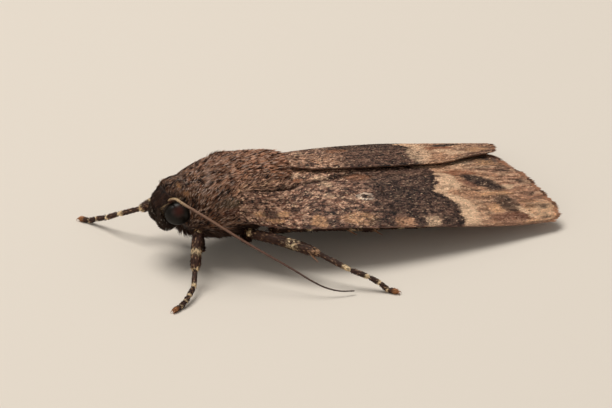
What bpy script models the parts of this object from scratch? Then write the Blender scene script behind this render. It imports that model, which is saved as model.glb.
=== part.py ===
"""Copper underwing moth at rest, life size: wings closed in a low roof, head towards -X, on six feet.

Every size below is in millimetres, in a working frame whose origin is on the floor under the middle of
the thorax, +X to the tail and +Y to the moth's right. A side is +1 for right and -1 for left, and q is
the distance out from the mid-line on the piece's own side. The finished moth is moved so that the origin
is the floor point at the middle of its box.
"""
from math import cos, pi, sin

import bmesh
import bpy
import numpy as np
from mathutils import Vector

MM = 0.001
GAP = 0.1            # clearance between neighbouring solids, kept small on so small an animal
SHEET = 0.5          # thickness of every wing
SIDES = {"left": -1, "right": 1}

# Body: stations of (x, height of the centre, half height, half width).
HEAD = [(-5.6, 4.95, 0.2, 0.3), (-5.4, 4.86, 0.47, 0.65), (-4.95, 4.62, 0.98, 1.15),
        (-4.45, 4.5, 1.22, 1.42), (-4.05, 4.5, 1.08, 1.25), (-3.9, 4.5, 0.85, 0.95)]
COLLAR = [(-4.75, 5.5, 0.45, 0.6), (-4.45, 5.3, 1.03, 1.18), (-4.05, 5.2, 1.28, 1.45),
          (-3.72, 5.12, 1.46, 1.65)]
THORAX = [(-3.6, 4.42, 2.12, 1.95), (-2.9, 4.36, 2.5, 2.5), (-1.9, 4.33, 2.84, 2.95),
          (-0.6, 4.32, 3.09, 3.15), (0.6, 4.32, 3.15, 3.18), (1.8, 4.37, 3.04, 2.97),
          (3.0, 4.5, 2.74, 2.5), (4.1, 4.7, 2.17, 1.9), (4.75, 4.85, 1.2, 1.1)]
ABDOMEN = [(3.5, 3.0, 1.2, 1.7), (5.0, 2.55, 1.5, 2.4), (7.0, 2.35, 1.35, 2.7), (9.0, 2.2, 1.2, 2.7),
           (11.0, 2.05, 1.05, 2.5), (13.0, 1.9, 0.9, 2.15), (15.0, 1.78, 0.68, 1.6),
           (16.5, 1.7, 0.45, 1.0), (17.4, 1.66, 0.22, 0.5)]
SEGMENT = 1.75       # length of one ring of the abdomen
SHOULDER_CENTRE, SHOULDER_RADII, SHOULDER_LEAN = (-0.85, 3.1, 5.15), (1.65, 0.42, 0.95), 0.25
LOWER_TUCK = 0.15    # how much narrower the underside is than the back
HEAD_PEAK, BACK_PEAK = 0.1, 0.22    # how much the top of the head, and of collar and thorax, draws in

# Head pieces.
EYE_CENTRE, EYE_RADII = (-4.26, 1.25, 4.29), (1.0, 0.75, 0.9)
PALP = [(-4.45, 0.7, 3.1), (-4.95, 0.7, 3.05), (-5.28, 0.7, 3.4), (-5.36, 0.7, 3.95), (-5.32, 0.66, 4.5)]
PALP_RADII = [0.3, 0.36, 0.38, 0.36, 0.24]
TONGUE_CENTRE, TONGUE_RADIUS, TONGUE_PITCH, TONGUE_THICK = (-4.98, 0.0, 2.88), 0.45, 0.06, 0.18
TONGUE_TURN = 1.6 * pi    # the outer turn of the coil, left open behind
FEELERS = {
    "left": [(-4.62, 1.1, 5.42), (-4.4, 2.3, 5.82), (-3.5, 3.65, 5.35), (-0.6, 6.0, 3.4), (1.98, 8.15, 1.82),
             (3.0, 9.0, 1.15), (3.9, 9.5, 0.68), (4.8, 9.8, 0.42), (5.74, 9.93, 0.3)],
    "right": [(-4.6, 1.05, 5.35), (-4.0, 1.75, 5.3), (-3.3, 2.75, 4.85), (-2.6, 3.5, 4.45), (-1.4, 4.6, 3.9),
              (-0.2, 5.9, 3.2), (1.98, 8.15, 1.75), (3.0, 9.0, 1.1), (3.9, 9.6, 0.66), (4.7, 10.1, 0.42)],
}
FEELER_RADIUS = 0.25

# The roof of the wings at stations along X: ridge height, then half span, height and steepness of its edge.
ROOF_X = [-0.9, 0.3, 2.5, 4.6, 6.3, 10.0, 13.7, 18.0, 21.6, 23.7]
RIDGE = [7.05, 6.9, 6.4, 5.95, 5.72, 5.2, 4.6, 3.86, 3.2, 2.9]
SPAN = [2.9, 4.0, 5.0, 5.75, 6.2, 6.75, 7.0, 7.1, 7.0, 6.9]
EDGE = [4.6, 3.85, 3.45, 3.38, 3.3, 2.85, 2.3, 1.48, 0.96, 0.8]
FALL = [4.4, 4.2, 2.5, 1.75, 1.7, 1.8, 1.8, 1.75, 1.75, 1.75]
RIGHT_DROOP = 0.4    # the right wing tip hangs this much lower than the left
OVERLAP_FROM, OVERLAP_TO = 2.6, 1.35    # the left wing sinks under the right one between these q

# Planforms: inner margin and costa as q over x, then the outer margin as x over q.
FORE_INNER = [(-0.7, 2.8), (0.6, 2.6), (2.5, 1.8), (3.8, 0.7), (4.6, -0.3), (5.8, -0.85), (7.5, -1.1),
              (10.0, -1.2), (16.0, -1.0), (19.6, -0.7), (20.8, -0.5)]
FORE_OUTER = [(-0.5, 20.8), (-0.2, 21.2), (0.3, 21.45), (0.8, 21.65), (1.8, 22.1), (3.5, 22.65),
              (4.8, 23.15), (5.7, 23.48), (6.2, 23.45), (6.6, 23.15), (6.95, 22.5)]
HIND_INNER = [(2.6, 0.35), (9.0, 0.35), (16.6, 0.35)]
HIND_COSTA = [(2.6, 3.6), (6.0, 5.2), (11.0, 5.9), (15.0, 5.7), (16.8, 5.1)]
HIND_OUTER = [(0.35, 16.6), (1.5, 17.9), (3.0, 18.4), (4.4, 17.9), (5.1, 16.8)]

# Legs: hip, knee and ankle, then the ends of the five joints of the foot, all as (x, q, height).
LEGS = {
    "foreleg_left": [(-2.6, 1.7, 1.35), (-3.35, 3.3, 3.5), (-4.07, 4.6, 1.58), (-4.66, 5.8, 0.78),
                     (-5.3, 6.5, 0.54), (-5.7, 6.88, 0.4), (-6.15, 7.13, 0.22), (-6.75, 7.45, 0.2)],
    "foreleg_right": [(-2.6, 1.7, 1.35), (-3.3, 3.35, 3.0), (-4.8, 3.5, 2.55), (-6.13, 5.0, 1.6),
                      (-6.7, 6.0, 0.95), (-7.16, 6.8, 0.56), (-7.52, 7.33, 0.22), (-8.0, 7.93, 0.2)],
    "midleg_left": [(1.0, 1.6, 1.4), (0.49, 3.7, 2.9), (4.02, 7.0, 2.29), (5.86, 8.8, 1.41),
                    (6.94, 9.6, 1.01), (7.57, 10.1, 0.66), (8.0, 10.5, 0.22), (8.52, 11.0, 0.2)],
    "midleg_right": [(1.0, 1.6, 1.4), (0.45, 3.7, 2.9), (3.6, 7.1, 2.1), (5.2, 9.0, 1.25),
                     (6.1, 9.9, 0.85), (6.7, 10.35, 0.55), (7.15, 10.65, 0.22), (7.7, 11.02, 0.2)],
    "hindleg_left": [(2.9, 1.4, 1.6), (5.2, 3.35, 2.3), (10.4, 2.95, 1.0), (12.6, 2.95, 0.6),
                     (13.9, 3.0, 0.42), (15.0, 3.05, 0.32), (15.9, 3.1, 0.22), (16.8, 3.15, 0.2)],
    "hindleg_right": [(2.9, 1.4, 1.6), (5.2, 3.35, 2.3), (10.6, 3.1, 1.0), (12.8, 3.3, 0.6),
                      (14.1, 3.45, 0.42), (15.2, 3.6, 0.32), (16.1, 3.7, 0.22), (17.0, 3.85, 0.2)],
}
FEMUR_RADII = [0.3, 0.42, 0.42]
TIBIA_RADII = [0.36, 0.42, 0.36]
FOOT_THIN, FOOT_THICK = 0.25, 0.29

for old in list(bpy.data.objects):
    bpy.data.objects.remove(old, do_unlink=True)


def curve(xs, ys):
    """A smooth curve through the stations that never overshoots them."""
    xs, ys = np.array(xs, float), np.array(ys, float)
    slopes = np.diff(ys) / np.diff(xs)
    before, after = slopes[:-1], slopes[1:]
    same = before * after > 0
    total = np.where(same, before + after, 1.0)
    tangents = np.concatenate([slopes[:1], np.where(same, 2 * before * after / total, 0.0), slopes[-1:]])

    def at(x):
        x = min(max(x, xs[0]), xs[-1])
        i = min(max(int(np.searchsorted(xs, x)) - 1, 0), len(xs) - 2)
        step = xs[i + 1] - xs[i]
        t = (x - xs[i]) / step
        return float((2 * t**3 - 3 * t**2 + 1) * ys[i] + (3 * t**2 - 2 * t**3) * ys[i + 1]
                     + step * ((t**3 - 2 * t**2 + t) * tangents[i] + (t**3 - t**2) * tangents[i + 1]))
    return at


def smooth_route(points, count):
    """Evenly spread points on a smooth curve through the given ones."""
    steps = [(Vector(b) - Vector(a)).length for a, b in zip(points, points[1:])]
    marks = np.concatenate([[0], np.cumsum(steps)])
    axes = [curve(marks, [p[i] for p in points]) for i in range(3)]
    return [tuple(axis(m) for axis in axes) for m in np.linspace(0, marks[-1], count)]


def material(name, colour, roughness):
    made = bpy.data.materials.new(name)
    made.use_nodes = True
    shader = made.node_tree.nodes["Principled BSDF"]
    shader.inputs["Base Color"].default_value = (*colour, 1)
    shader.inputs["Roughness"].default_value = roughness
    shader.inputs["Metallic"].default_value = 0.0
    made.diffuse_color = (*colour, 1)
    return made


def solid(name, rings, colour=None, roughness=0.7, poles=None):
    """Closed body through rings of equal length, with a pole beyond each end; no colour makes it a cutter."""
    mesh = bpy.data.meshes.new(name)
    bm = bmesh.new()
    made = [[bm.verts.new(Vector(p) * MM) for p in ring] for ring in rings]
    for one, two in zip(made, made[1:]):
        for i in range(len(one)):
            j = (i + 1) % len(one)
            bm.faces.new((one[i], one[j], two[j], two[i]))
    for ring, pole in zip((made[0], made[-1]), poles):
        tip = bm.verts.new(Vector(pole) * MM)
        for i in range(len(ring)):
            bm.faces.new((ring[i], ring[(i + 1) % len(ring)], tip))
    return finish(name, mesh, bm, colour, roughness)


def finish(name, mesh, bm, colour, roughness):
    bmesh.ops.recalc_face_normals(bm, faces=bm.faces)
    bm.to_mesh(mesh)
    bm.free()
    mesh.shade_smooth()
    mesh.set_sharp_from_angle(angle=0.9)
    made = bpy.data.objects.new(name, mesh)
    bpy.context.collection.objects.link(made)
    if colour is None:
        made.hide_render = True
        made.display_type = "WIRE"
    else:
        mesh.materials.append(material(name, colour, roughness))
    return made


def body(name, stations, sides, rings, bulge=(0.15, 0.15), peak=0.0, grow=0.0, ringed=0.0, **look):
    """Rounded body along X with bulging ends, its underside and peak drawn in, ringed where segmented."""
    xs, heights, tall, wide = zip(*stations)
    centre, tall, wide = curve(xs, heights), curve(xs, tall), curve(xs, wide)
    made = []
    for i in range(rings):
        share = i / (rings - 1)
        x = xs[0] + (xs[-1] - xs[0]) * (share if ringed else 0.5 - 0.5 * cos(pi * share))
        girth = 1 - ringed * (0.5 + 0.5 * cos(2 * pi * (x - xs[0]) / SEGMENT))
        ring = []
        for k in range(sides):
            c, s = cos(2 * pi * k / sides), sin(2 * pi * k / sides)
            tuck = 1 - (LOWER_TUCK if s < 0 else peak) * s * s
            ring.append((x, (wide(x) * girth + grow) * c * tuck, centre(x) + (tall(x) * girth + grow) * s))
        made.append(ring)
    ends = [(xs[0] - bulge[0] - grow, 0, centre(xs[0])), (xs[-1] + bulge[1] + grow, 0, centre(xs[-1]))]
    return solid(name, made, poles=ends, **look)


def tube(name, points, radii, sides, grow=0.0, **look):
    """Round limb through the points, with a rounded end past the first and the last of them."""
    points = [Vector(p) for p in points]
    radii = [r + grow for r in radii]
    heading = [(b - a).normalized() for a, b in zip([points[0]] + points[:-1], points[1:] + [points[-1]])]
    points = [points[0] - heading[0] * radii[0] * 0.6, *points, points[-1] + heading[-1] * radii[-1] * 0.6]
    radii = [radii[0] * 0.8, *radii, radii[-1] * 0.8]
    heading = [heading[0], *heading, heading[-1]]
    across = heading[0].cross(Vector((0, 0, 1)))
    across = across.normalized() if across.length > 0.1 else Vector((0, 1, 0))
    rings = []
    for point, radius, along in zip(points, radii, heading):
        across = (across - along * across.dot(along)).normalized()
        up = along.cross(across)
        turns = [2 * pi * k / sides for k in range(sides)]
        rings.append([point + (across * cos(t) + up * sin(t)) * radius for t in turns])
    rings = [[(p[0], p[1], max(p[2], 0.0)) for p in ring] for ring in rings]
    tips = [points[0] - heading[0] * radii[0] * 0.5, points[-1] + heading[-1] * radii[-1] * 0.5]
    tips = [(p[0], p[1], max(p[2], 0.0)) for p in tips]
    return solid(name, rings, poles=tips, **look)


def ball(name, centre, radii, grow=0.0, colour=None, roughness=0.7, tilt=0.0):
    """Sphere or egg with its poles at the sides; tilt leans its top towards the mid-line."""
    mesh = bpy.data.meshes.new(name)
    bm = bmesh.new()
    bmesh.ops.create_uvsphere(bm, u_segments=14, v_segments=9, radius=1.0)
    for vert in bm.verts:
        x, y, z = (c * (r + grow) for c, r in zip((vert.co.x, vert.co.z, -vert.co.y), radii))
        y, z = y * cos(tilt) - z * sin(tilt), y * sin(tilt) + z * cos(tilt)
        vert.co = (Vector(centre) + Vector((x, y, z))) * MM
    return finish(name, mesh, bm, colour, roughness)


def cut(piece, *cutters):
    """Takes the cutters, each a grown copy of a neighbour, out of the piece."""
    for cutter in cutters:
        boolean = piece.modifiers.new(cutter.name, "BOOLEAN")
        boolean.operation = "DIFFERENCE"
        boolean.solver = "EXACT"
        boolean.object = cutter


def mirrored(points, side):
    return [(x, q * side, z) for x, q, z in points]


# --- the roof that all four wings follow -------------------------------------------------------------
ridge_at, span_at = curve(ROOF_X, RIDGE), curve(ROOF_X, SPAN)
edge_at, fall_at = curve(ROOF_X, EDGE), curve(ROOF_X, FALL)
droop_at = curve([18.0, 21.0, 23.5], [0.0, 0.35, 1.0])


def roof(x, y):
    """Height of the closed wings' upper surface."""
    out = min(abs(y) / span_at(x), 1.1)
    edge = edge_at(x) - (RIGHT_DROOP * droop_at(x) if y > 0 else 0.0)
    return ridge_at(x) - (ridge_at(x) - edge) * out ** fall_at(x)


def under_roof(x, y, depth):
    """The point that lies the given depth below the roof, square to it."""
    step = 0.02
    slope_x = (roof(x + step, y) - roof(x - step, y)) / (2 * step)
    slope_y = (roof(x, y + step) - roof(x, y - step)) / (2 * step)
    return Vector((x, y, roof(x, y))) - Vector((-slope_x, -slope_y, 1)).normalized() * depth


def blend(t):
    t = min(max(t, 0.0), 1.0)
    return t * t * (3 - 2 * t)


def wing(name, side, inner, costa, outer, depth_at, across, along, **look):
    """Sheet between an inner margin and a costa, rounded off by an outer margin, laid under the roof."""
    inner_q, costa_q = curve(*zip(*inner)), curve(*zip(*costa))
    outer_x = curve(*zip(*outer))
    first, last = (inner[0][0], costa[0][0]), (inner[-1][0], costa[-1][0])
    upper, lower = [], []
    for i in range(along + 1):
        u = i / along
        xs = [a + (b - a) * u for a, b in zip(first, last)]
        qs = [inner_q(xs[0]), costa_q(xs[1])]
        tops, bottoms = [], []
        for j in range(across + 1):
            v = 0.5 * j / across + 0.25 * (1 - cos(pi * j / across))
            x, q = xs[0] + (xs[1] - xs[0]) * v, qs[0] + (qs[1] - qs[0]) * v
            rim = outer[0][0] + (outer[-1][0] - outer[0][0]) * v
            x += (outer_x(rim) - (last[0] + (last[1] - last[0]) * v)) * u ** 3
            depth = depth_at(q * side)
            tops.append(under_roof(x, q * side, depth))
            bottoms.append(under_roof(x, q * side, depth + SHEET))
        upper.append(tops)
        lower.append(bottoms)
    mesh = bpy.data.meshes.new(name)
    bm = bmesh.new()
    grids = [[[bm.verts.new(p * MM) for p in row] for row in grid] for grid in (upper, lower)]
    for grid in grids:
        for i in range(along):
            for j in range(across):
                bm.faces.new((grid[i][j], grid[i + 1][j], grid[i + 1][j + 1], grid[i][j + 1]))
    rim = [(i, 0) for i in range(along)] + [(along, j) for j in range(across)]
    rim += [(i, across) for i in range(along, 0, -1)] + [(0, j) for j in range(across, 0, -1)]
    for (a, b), (c, d) in zip(rim, rim[1:] + rim[:1]):
        bm.faces.new((grids[0][a][b], grids[0][c][d], grids[1][c][d], grids[1][a][b]))
    return finish(name, mesh, bm, look["colour"], look["roughness"])


# --- head: a hairy ball with the eyes let into its sides, palps in front, the tongue coiled between ----
BROWN = (0.10, 0.060, 0.040)
head = body("head", HEAD, 16, 9, peak=HEAD_PEAK, colour=BROWN, roughness=0.85)
head_room = body("cut_head", HEAD, 16, 9, peak=HEAD_PEAK, grow=GAP)
collar_room = body("cut_collar", COLLAR, 18, 6, bulge=(0.1, 0.0), peak=BACK_PEAK, grow=GAP)
for name, side in SIDES.items():
    centre = mirrored([EYE_CENTRE], side)[0]
    eye = ball(f"eye_{name}", centre, EYE_RADII, colour=(0.012, 0.009, 0.008), roughness=0.25)
    socket = ball(f"cut_eye_{name}", centre, EYE_RADII, grow=GAP)
    cut(head, socket)
    girths = np.interp(np.linspace(0, 4, 8), range(5), PALP_RADII)
    palp = tube(f"palp_{name}", mirrored(smooth_route(PALP, 8), side), girths, 8,
                colour=(0.035, 0.030, 0.022), roughness=0.8)
    cut(palp, head_room, socket)
    route = mirrored(smooth_route(FEELERS[name], 20), side)
    feeler = tube(f"antenna_{name}", route, [FEELER_RADIUS] * 20, 6, colour=(0.20, 0.10, 0.055), roughness=0.6)
    cut(feeler, head_room, collar_room, socket)

coil = []
for i in range(17):
    turn = -0.5 * pi + TONGUE_TURN * i / 16
    reach = TONGUE_RADIUS - TONGUE_PITCH * (turn + 0.5 * pi) / (2 * pi)
    coil.append((TONGUE_CENTRE[0] - reach * cos(turn), 0, TONGUE_CENTRE[2] + reach * sin(turn)))
tongue = tube("proboscis", coil, [TONGUE_THICK] * len(coil), 6, colour=(0.12, 0.055, 0.03), roughness=0.5)
cut(tongue, head_room)

# --- trunk: collar hooding the head, hairy thorax with its rear crest, flattened abdomen ----------------
collar = body("collar", COLLAR, 18, 6, bulge=(0.1, 0.0), peak=BACK_PEAK, colour=(0.11, 0.066, 0.042),
              roughness=0.85)
thorax = body("thorax", THORAX, 18, 13, bulge=(0.0, 0.2), peak=BACK_PEAK, colour=(0.12, 0.075, 0.052),
              roughness=0.85)
abdomen = body("abdomen", ABDOMEN, 14, 24, ringed=0.05, colour=(0.16, 0.105, 0.075), roughness=0.85)
thorax_room = body("cut_thorax", THORAX, 18, 13, bulge=(0.0, 0.2), peak=BACK_PEAK, grow=GAP)
abdomen_room = body("cut_abdomen", ABDOMEN, 14, 24, grow=GAP, ringed=0.05)
cut(abdomen, thorax_room)
for name in SIDES:
    for piece in (collar, thorax):
        cut(piece, bpy.data.objects[f"cut_eye_{name}"])
cut(collar, head_room)

# --- wings: hindwings folded lowest, then the left forewing, with the right forewing over it -------------
LAYER = SHEET + GAP
fore_costa = [(x, q) for x, q in zip(ROOF_X, SPAN) if -0.9 <= x < 22] + [(22.5, 6.95)]


def left_depth(y):
    """The left forewing sinks one layer to pass under the right one."""
    return LAYER * blend((OVERLAP_FROM + y) / (OVERLAP_FROM - OVERLAP_TO))


def hind_depth(y):
    """The hindwings lie under one forewing at the sides and under both near the mid-line."""
    return LAYER + LAYER * blend((OVERLAP_FROM + 0.5 - abs(y)) / (OVERLAP_FROM - OVERLAP_TO))


wings = []
for name, side in SIDES.items():
    depth = left_depth if side < 0 else (lambda y: 0.0)
    wings.append(wing(f"forewing_{name}", side, FORE_INNER, fore_costa, FORE_OUTER, depth, 9, 23,
                      colour=(0.17, 0.10, 0.065), roughness=0.8))
    wings.append(wing(f"hindwing_{name}", side, HIND_INNER, HIND_COSTA, HIND_OUTER, hind_depth, 7, 14,
                      colour=(0.45, 0.20, 0.09), roughness=0.75))
for piece in wings:
    cut(piece, thorax_room)
for name, side in SIDES.items():
    centre = mirrored([SHOULDER_CENTRE], side)[0]
    lean = SHOULDER_LEAN * side
    lobe = ball(f"tegula_{name}", centre, SHOULDER_RADII, tilt=lean, colour=(0.13, 0.085, 0.06),
                roughness=0.85)
    cut(lobe, thorax_room)
    lobe_room = ball(f"cut_tegula_{name}", centre, SHOULDER_RADII, grow=GAP, tilt=lean)
    cut(bpy.data.objects[f"forewing_{name}"], lobe_room)

# --- legs: thigh, shin and five-jointed foot, each let a little into the one before it -------------------
for leg, joints in LEGS.items():
    side = SIDES[leg.split("_")[1]]
    points = mirrored(joints, side)
    hip, knee, ankle = (Vector(p) for p in points[:3])
    thigh = [hip, hip.lerp(knee, 0.55), knee]
    shin = [knee, knee.lerp(ankle, 0.5), ankle]
    femur = tube(f"{leg}_femur", thigh, FEMUR_RADII, 8, colour=(0.09, 0.06, 0.045), roughness=0.8)
    cut(femur, thorax_room, abdomen_room)
    tibia = tube(f"{leg}_tibia", shin, TIBIA_RADII, 8, colour=(0.11, 0.075, 0.055), roughness=0.8)
    cut(tibia, tube(f"cut_{leg}_femur", thigh, FEMUR_RADII, 8, grow=GAP))
    foot, girths = [], []
    for start, end in zip(points[2:], points[3:]):
        start, end = Vector(start), Vector(end)
        foot += [start.lerp(end, 0.05), start.lerp(end, 0.8)]
        girths += [FOOT_THIN, FOOT_THICK]
    foot.append(Vector(points[-1]))
    girths.append(FOOT_THIN)
    tarsus = tube(f"{leg}_tarsus", foot, girths, 6, colour=(0.10, 0.07, 0.05), roughness=0.75)
    cut(tarsus, tube(f"cut_{leg}_tibia", shin, TIBIA_RADII, 8, grow=GAP))

# --- the origin goes to the floor point at the middle of the moth's box ----------------------------------
bpy.context.view_layer.update()
depsgraph = bpy.context.evaluated_depsgraph_get()
pieces = [o for o in bpy.data.objects if not o.hide_render]
corners = np.array([v.co for o in pieces for v in o.evaluated_get(depsgraph).data.vertices])
middle = (corners.min(axis=0) + corners.max(axis=0)) / 2
for piece in bpy.data.objects:
    piece.location = (-middle[0], -middle[1], -corners[:, 2].min())
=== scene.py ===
"""The looks of a copper underwing moth at rest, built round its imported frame.

Sizes are millimetres in a working frame whose origin is on the floor under the middle of the thorax: +X
to the tail, +Y to the moth's right, +Z up. q is the distance out from the mid-line on a piece's own side,
and a side is +1 for right and -1 for left. place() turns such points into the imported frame.
"""
from math import cos, pi, radians, sin

import bmesh
import bpy
import numpy as np
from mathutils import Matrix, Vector


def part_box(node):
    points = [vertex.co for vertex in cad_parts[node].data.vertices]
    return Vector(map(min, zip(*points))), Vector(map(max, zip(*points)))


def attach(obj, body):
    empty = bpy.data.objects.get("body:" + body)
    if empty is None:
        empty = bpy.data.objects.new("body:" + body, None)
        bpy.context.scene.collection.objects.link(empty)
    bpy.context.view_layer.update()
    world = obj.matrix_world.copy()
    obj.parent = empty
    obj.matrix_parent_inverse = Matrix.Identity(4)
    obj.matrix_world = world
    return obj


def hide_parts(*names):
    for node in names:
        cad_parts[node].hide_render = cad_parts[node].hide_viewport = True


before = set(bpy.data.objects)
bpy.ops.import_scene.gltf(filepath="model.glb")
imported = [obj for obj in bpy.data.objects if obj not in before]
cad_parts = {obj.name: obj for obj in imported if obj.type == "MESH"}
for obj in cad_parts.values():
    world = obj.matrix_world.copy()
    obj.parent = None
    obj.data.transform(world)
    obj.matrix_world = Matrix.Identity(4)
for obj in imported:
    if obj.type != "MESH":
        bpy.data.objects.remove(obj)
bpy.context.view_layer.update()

# ----------------------------------------
# Studio: a plain pale floor, a large soft light overhead and a weak one in front, and the camera, which
# looks down on the moth's left side from a little in front.
THORAX_FRONT = -3.6  # where the thorax begins in the working frame
FLOOR_SIZE = 1.6
FLOOR_COLOUR, FLOOR_ROUGHNESS = (0.72, 0.66, 0.58), 0.8
CAMERA_TURN, CAMERA_RISE = radians(-23.0), radians(27.5)
CAMERA_REACH, CAMERA_LENS, CAMERA_SENSOR = 0.3, 246.6, 36.0
CAMERA_AIM = (6.29, 0.0, 2.27)
SKY_COLOUR, SKY_STRENGTH = (1.0, 0.96, 0.91), 0.3
LIGHTS = {"overhead": ((-0.06, 0.1, 0.42), 1.6, 0.26, (1.0, 0.97, 0.93)),
          "front_fill": ((-0.3, -0.34, 0.2), 0.25, 0.3, (1.0, 0.95, 0.9))}

low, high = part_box("thorax")
SHIFT = np.array([low[0] * 1000 - THORAX_FRONT, (low[1] + high[1]) * 500, 0.0])


def place(points):
    """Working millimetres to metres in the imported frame."""
    return (np.asarray(points, float) + SHIFT) * 0.001


def new_piece(name, data):
    """Puts a mesh, a lamp or a camera into the scene."""
    made = bpy.data.objects.new(name, data)
    bpy.context.collection.objects.link(made)
    return made


def new_material(name, constants):
    """A material with the given constants on its surface shader."""
    made = bpy.data.materials.new(name)
    made.use_nodes = True
    for key, value in constants.items():
        made.node_tree.nodes["Principled BSDF"].inputs[key].default_value = value
    return made


half = FLOOR_SIZE / 2
floor_mesh = bpy.data.meshes.new("floor")
floor_mesh.from_pydata([(-half, -half, 0), (half, -half, 0), (half, half, 0), (-half, half, 0)],
                       [], [(0, 1, 2, 3)])
floor = new_piece("floor", floor_mesh)
floor.data.materials.append(
    new_material("pale_floor", {"Base Color": (*FLOOR_COLOUR, 1), "Roughness": FLOOR_ROUGHNESS}))

world = bpy.data.worlds.new("studio")
bpy.context.scene.world = world
world.use_nodes = True
world.node_tree.nodes["Background"].inputs["Color"].default_value = (*SKY_COLOUR, 1)
world.node_tree.nodes["Background"].inputs["Strength"].default_value = SKY_STRENGTH
for name, (spot, watts, size, tone) in LIGHTS.items():
    lamp = bpy.data.lights.new(name, "AREA")
    lamp.energy, lamp.size, lamp.color = watts, size, tone
    light = new_piece(name, lamp)
    light.location = spot
    light.rotation_euler = Vector(spot).to_track_quat("Z", "Y").to_euler()

lens = bpy.data.cameras.new("camera")
lens.lens, lens.sensor_width, lens.clip_start = CAMERA_LENS, CAMERA_SENSOR, 0.01
camera = new_piece("camera", lens)
level = cos(CAMERA_RISE)
back = Vector((sin(CAMERA_TURN) * level, -cos(CAMERA_TURN) * level, sin(CAMERA_RISE)))
camera.location = Vector(place(CAMERA_AIM)) + back * CAMERA_REACH
camera.rotation_euler = back.to_track_quat("Z", "Y").to_euler()
bpy.context.scene.camera = camera
bpy.context.scene.view_settings.view_transform = "Standard"

# ----------------------------------------
# Skin: the cuticle of head, neck, thorax with its shoulder lobes, and ringed abdomen, in one soft shell.
# Dark chitin, seen only as a ground between the hairs. Its lofted parts are fused and smoothed, and lie
# inside the solids by the depth of the coat.

# Stations of (x, height of the centre, half height, half width), out to the tips of the coat.
HEAD = [(-5.45, 4.9, 0.2, 0.3), (-5.27, 4.83, 0.47, 0.65), (-4.88, 4.62, 1.02, 1.15),
        (-4.45, 4.54, 1.29, 1.42), (-4.05, 4.55, 1.2, 1.25), (-3.3, 4.5, 0.95, 1.05)]
COLLAR = [(-4.95, 5.5, 0.5, 0.6), (-4.45, 5.38, 1.14, 1.18), (-4.05, 5.28, 1.4, 1.45),
          (-3.72, 5.18, 1.53, 1.65), (-3.0, 5.02, 1.66, 1.9)]
THORAX = [(-3.6, 4.42, 2.12, 1.95), (-2.9, 4.36, 2.5, 2.5), (-1.9, 4.33, 2.84, 2.95),
          (-0.6, 4.32, 3.09, 3.15), (0.6, 4.32, 3.15, 3.18), (1.8, 4.37, 3.04, 2.97),
          (3.0, 4.5, 2.74, 2.5), (4.1, 4.7, 2.17, 1.9), (4.75, 4.85, 1.2, 1.1)]
ABDOMEN = [(3.0, 3.3, 1.0, 1.5), (3.5, 3.0, 1.2, 1.7), (5.0, 2.55, 1.5, 2.4), (7.0, 2.35, 1.35, 2.7),
           (9.0, 2.2, 1.2, 2.7), (11.0, 2.05, 1.05, 2.5), (13.0, 1.9, 0.9, 2.15), (15.0, 1.78, 0.68, 1.6),
           (16.5, 1.7, 0.45, 1.0), (17.4, 1.66, 0.22, 0.5)]
HEAD_COAT, COLLAR_COAT, THORAX_COAT, ABDOMEN_COAT = 0.16, 0.3, 0.3, 0.18  # depth of the coat there
LOBE_CENTRE, LOBE_RADII, LOBE_LEAN, LOBE_COAT = (-0.7, 3.0, 4.9), (1.45, 0.42, 0.78), 0.25, 0.14
SEGMENT, SEGMENT_DEPTH = 1.75, 0.06  # length of an abdomen ring and how far its joint sinks
LOWER_TUCK = 0.15  # how much narrower the underside is than the back
HEAD_PEAK, BACK_PEAK = 0.1, 0.22  # how much the top of the head, and of collar and thorax, draws in
EYE_CENTRE, EYE_RADII = (-4.0, 1.26, 4.26), (1.02, 0.74, 0.86)
SOCKET_DEPTH, SOCKET_EDGE, SOCKET_REACH = 0.88, 1.06, 1.34  # dip of the skin round an eye, in its radii
SKIN_VOXEL, SKIN_SMOOTHING, TRUNK_SIDES = 0.11, 8, 48
SIDES = (("left", -1), ("right", 1))
# Large odd numbers that scatter the blotches.
SCATTER_STEPS, SCATTER_SEED = (374761393, 668265263, 2147483647), 1274126177
SCATTER_FIRST, SCATTER_LAST = 1103515245, 668265263
FLOOR_GAP = 0.004  # how far the lowest points stay above the floor


def curve(stations, column=1):
    """A smooth curve through one column of the stations over their first, which never overshoots them."""
    xs, ys = (np.array([s[k] for s in stations], float) for k in (0, column))
    slopes = np.diff(ys) / np.diff(xs)
    before, after = slopes[:-1], slopes[1:]
    same = before * after > 0
    total = np.where(same, before + after, 1.0)
    tangents = np.concatenate([slopes[:1], np.where(same, 2 * before * after / total, 0.0), slopes[-1:]])

    def at(x):
        x = np.clip(np.asarray(x, float), xs[0], xs[-1])
        i = np.clip(np.searchsorted(xs, x) - 1, 0, len(xs) - 2)
        step = xs[i + 1] - xs[i]
        t = (x - xs[i]) / step
        return ((2 * t**3 - 3 * t**2 + 1) * ys[i] + (3 * t**2 - 2 * t**3) * ys[i + 1]
                + step * ((t**3 - 2 * t**2 + t) * tangents[i] + (t**3 - t**2) * tangents[i + 1]))
    return at


def ring_faces(count, sides):
    """Faces of a closed body through rings of points and two poles, which come after the rings."""
    last = (count - 1) * sides
    around = [(k, (k + 1) % sides) for k in range(sides)]
    faces = [(i + a, i + b, i + b + sides, i + a + sides)
             for i in range(0, last, sides) for a, b in around]
    for a, b in around:
        faces += [(b, a, last + sides), (last + a, last + b, last + sides + 1)]
    return faces


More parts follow.
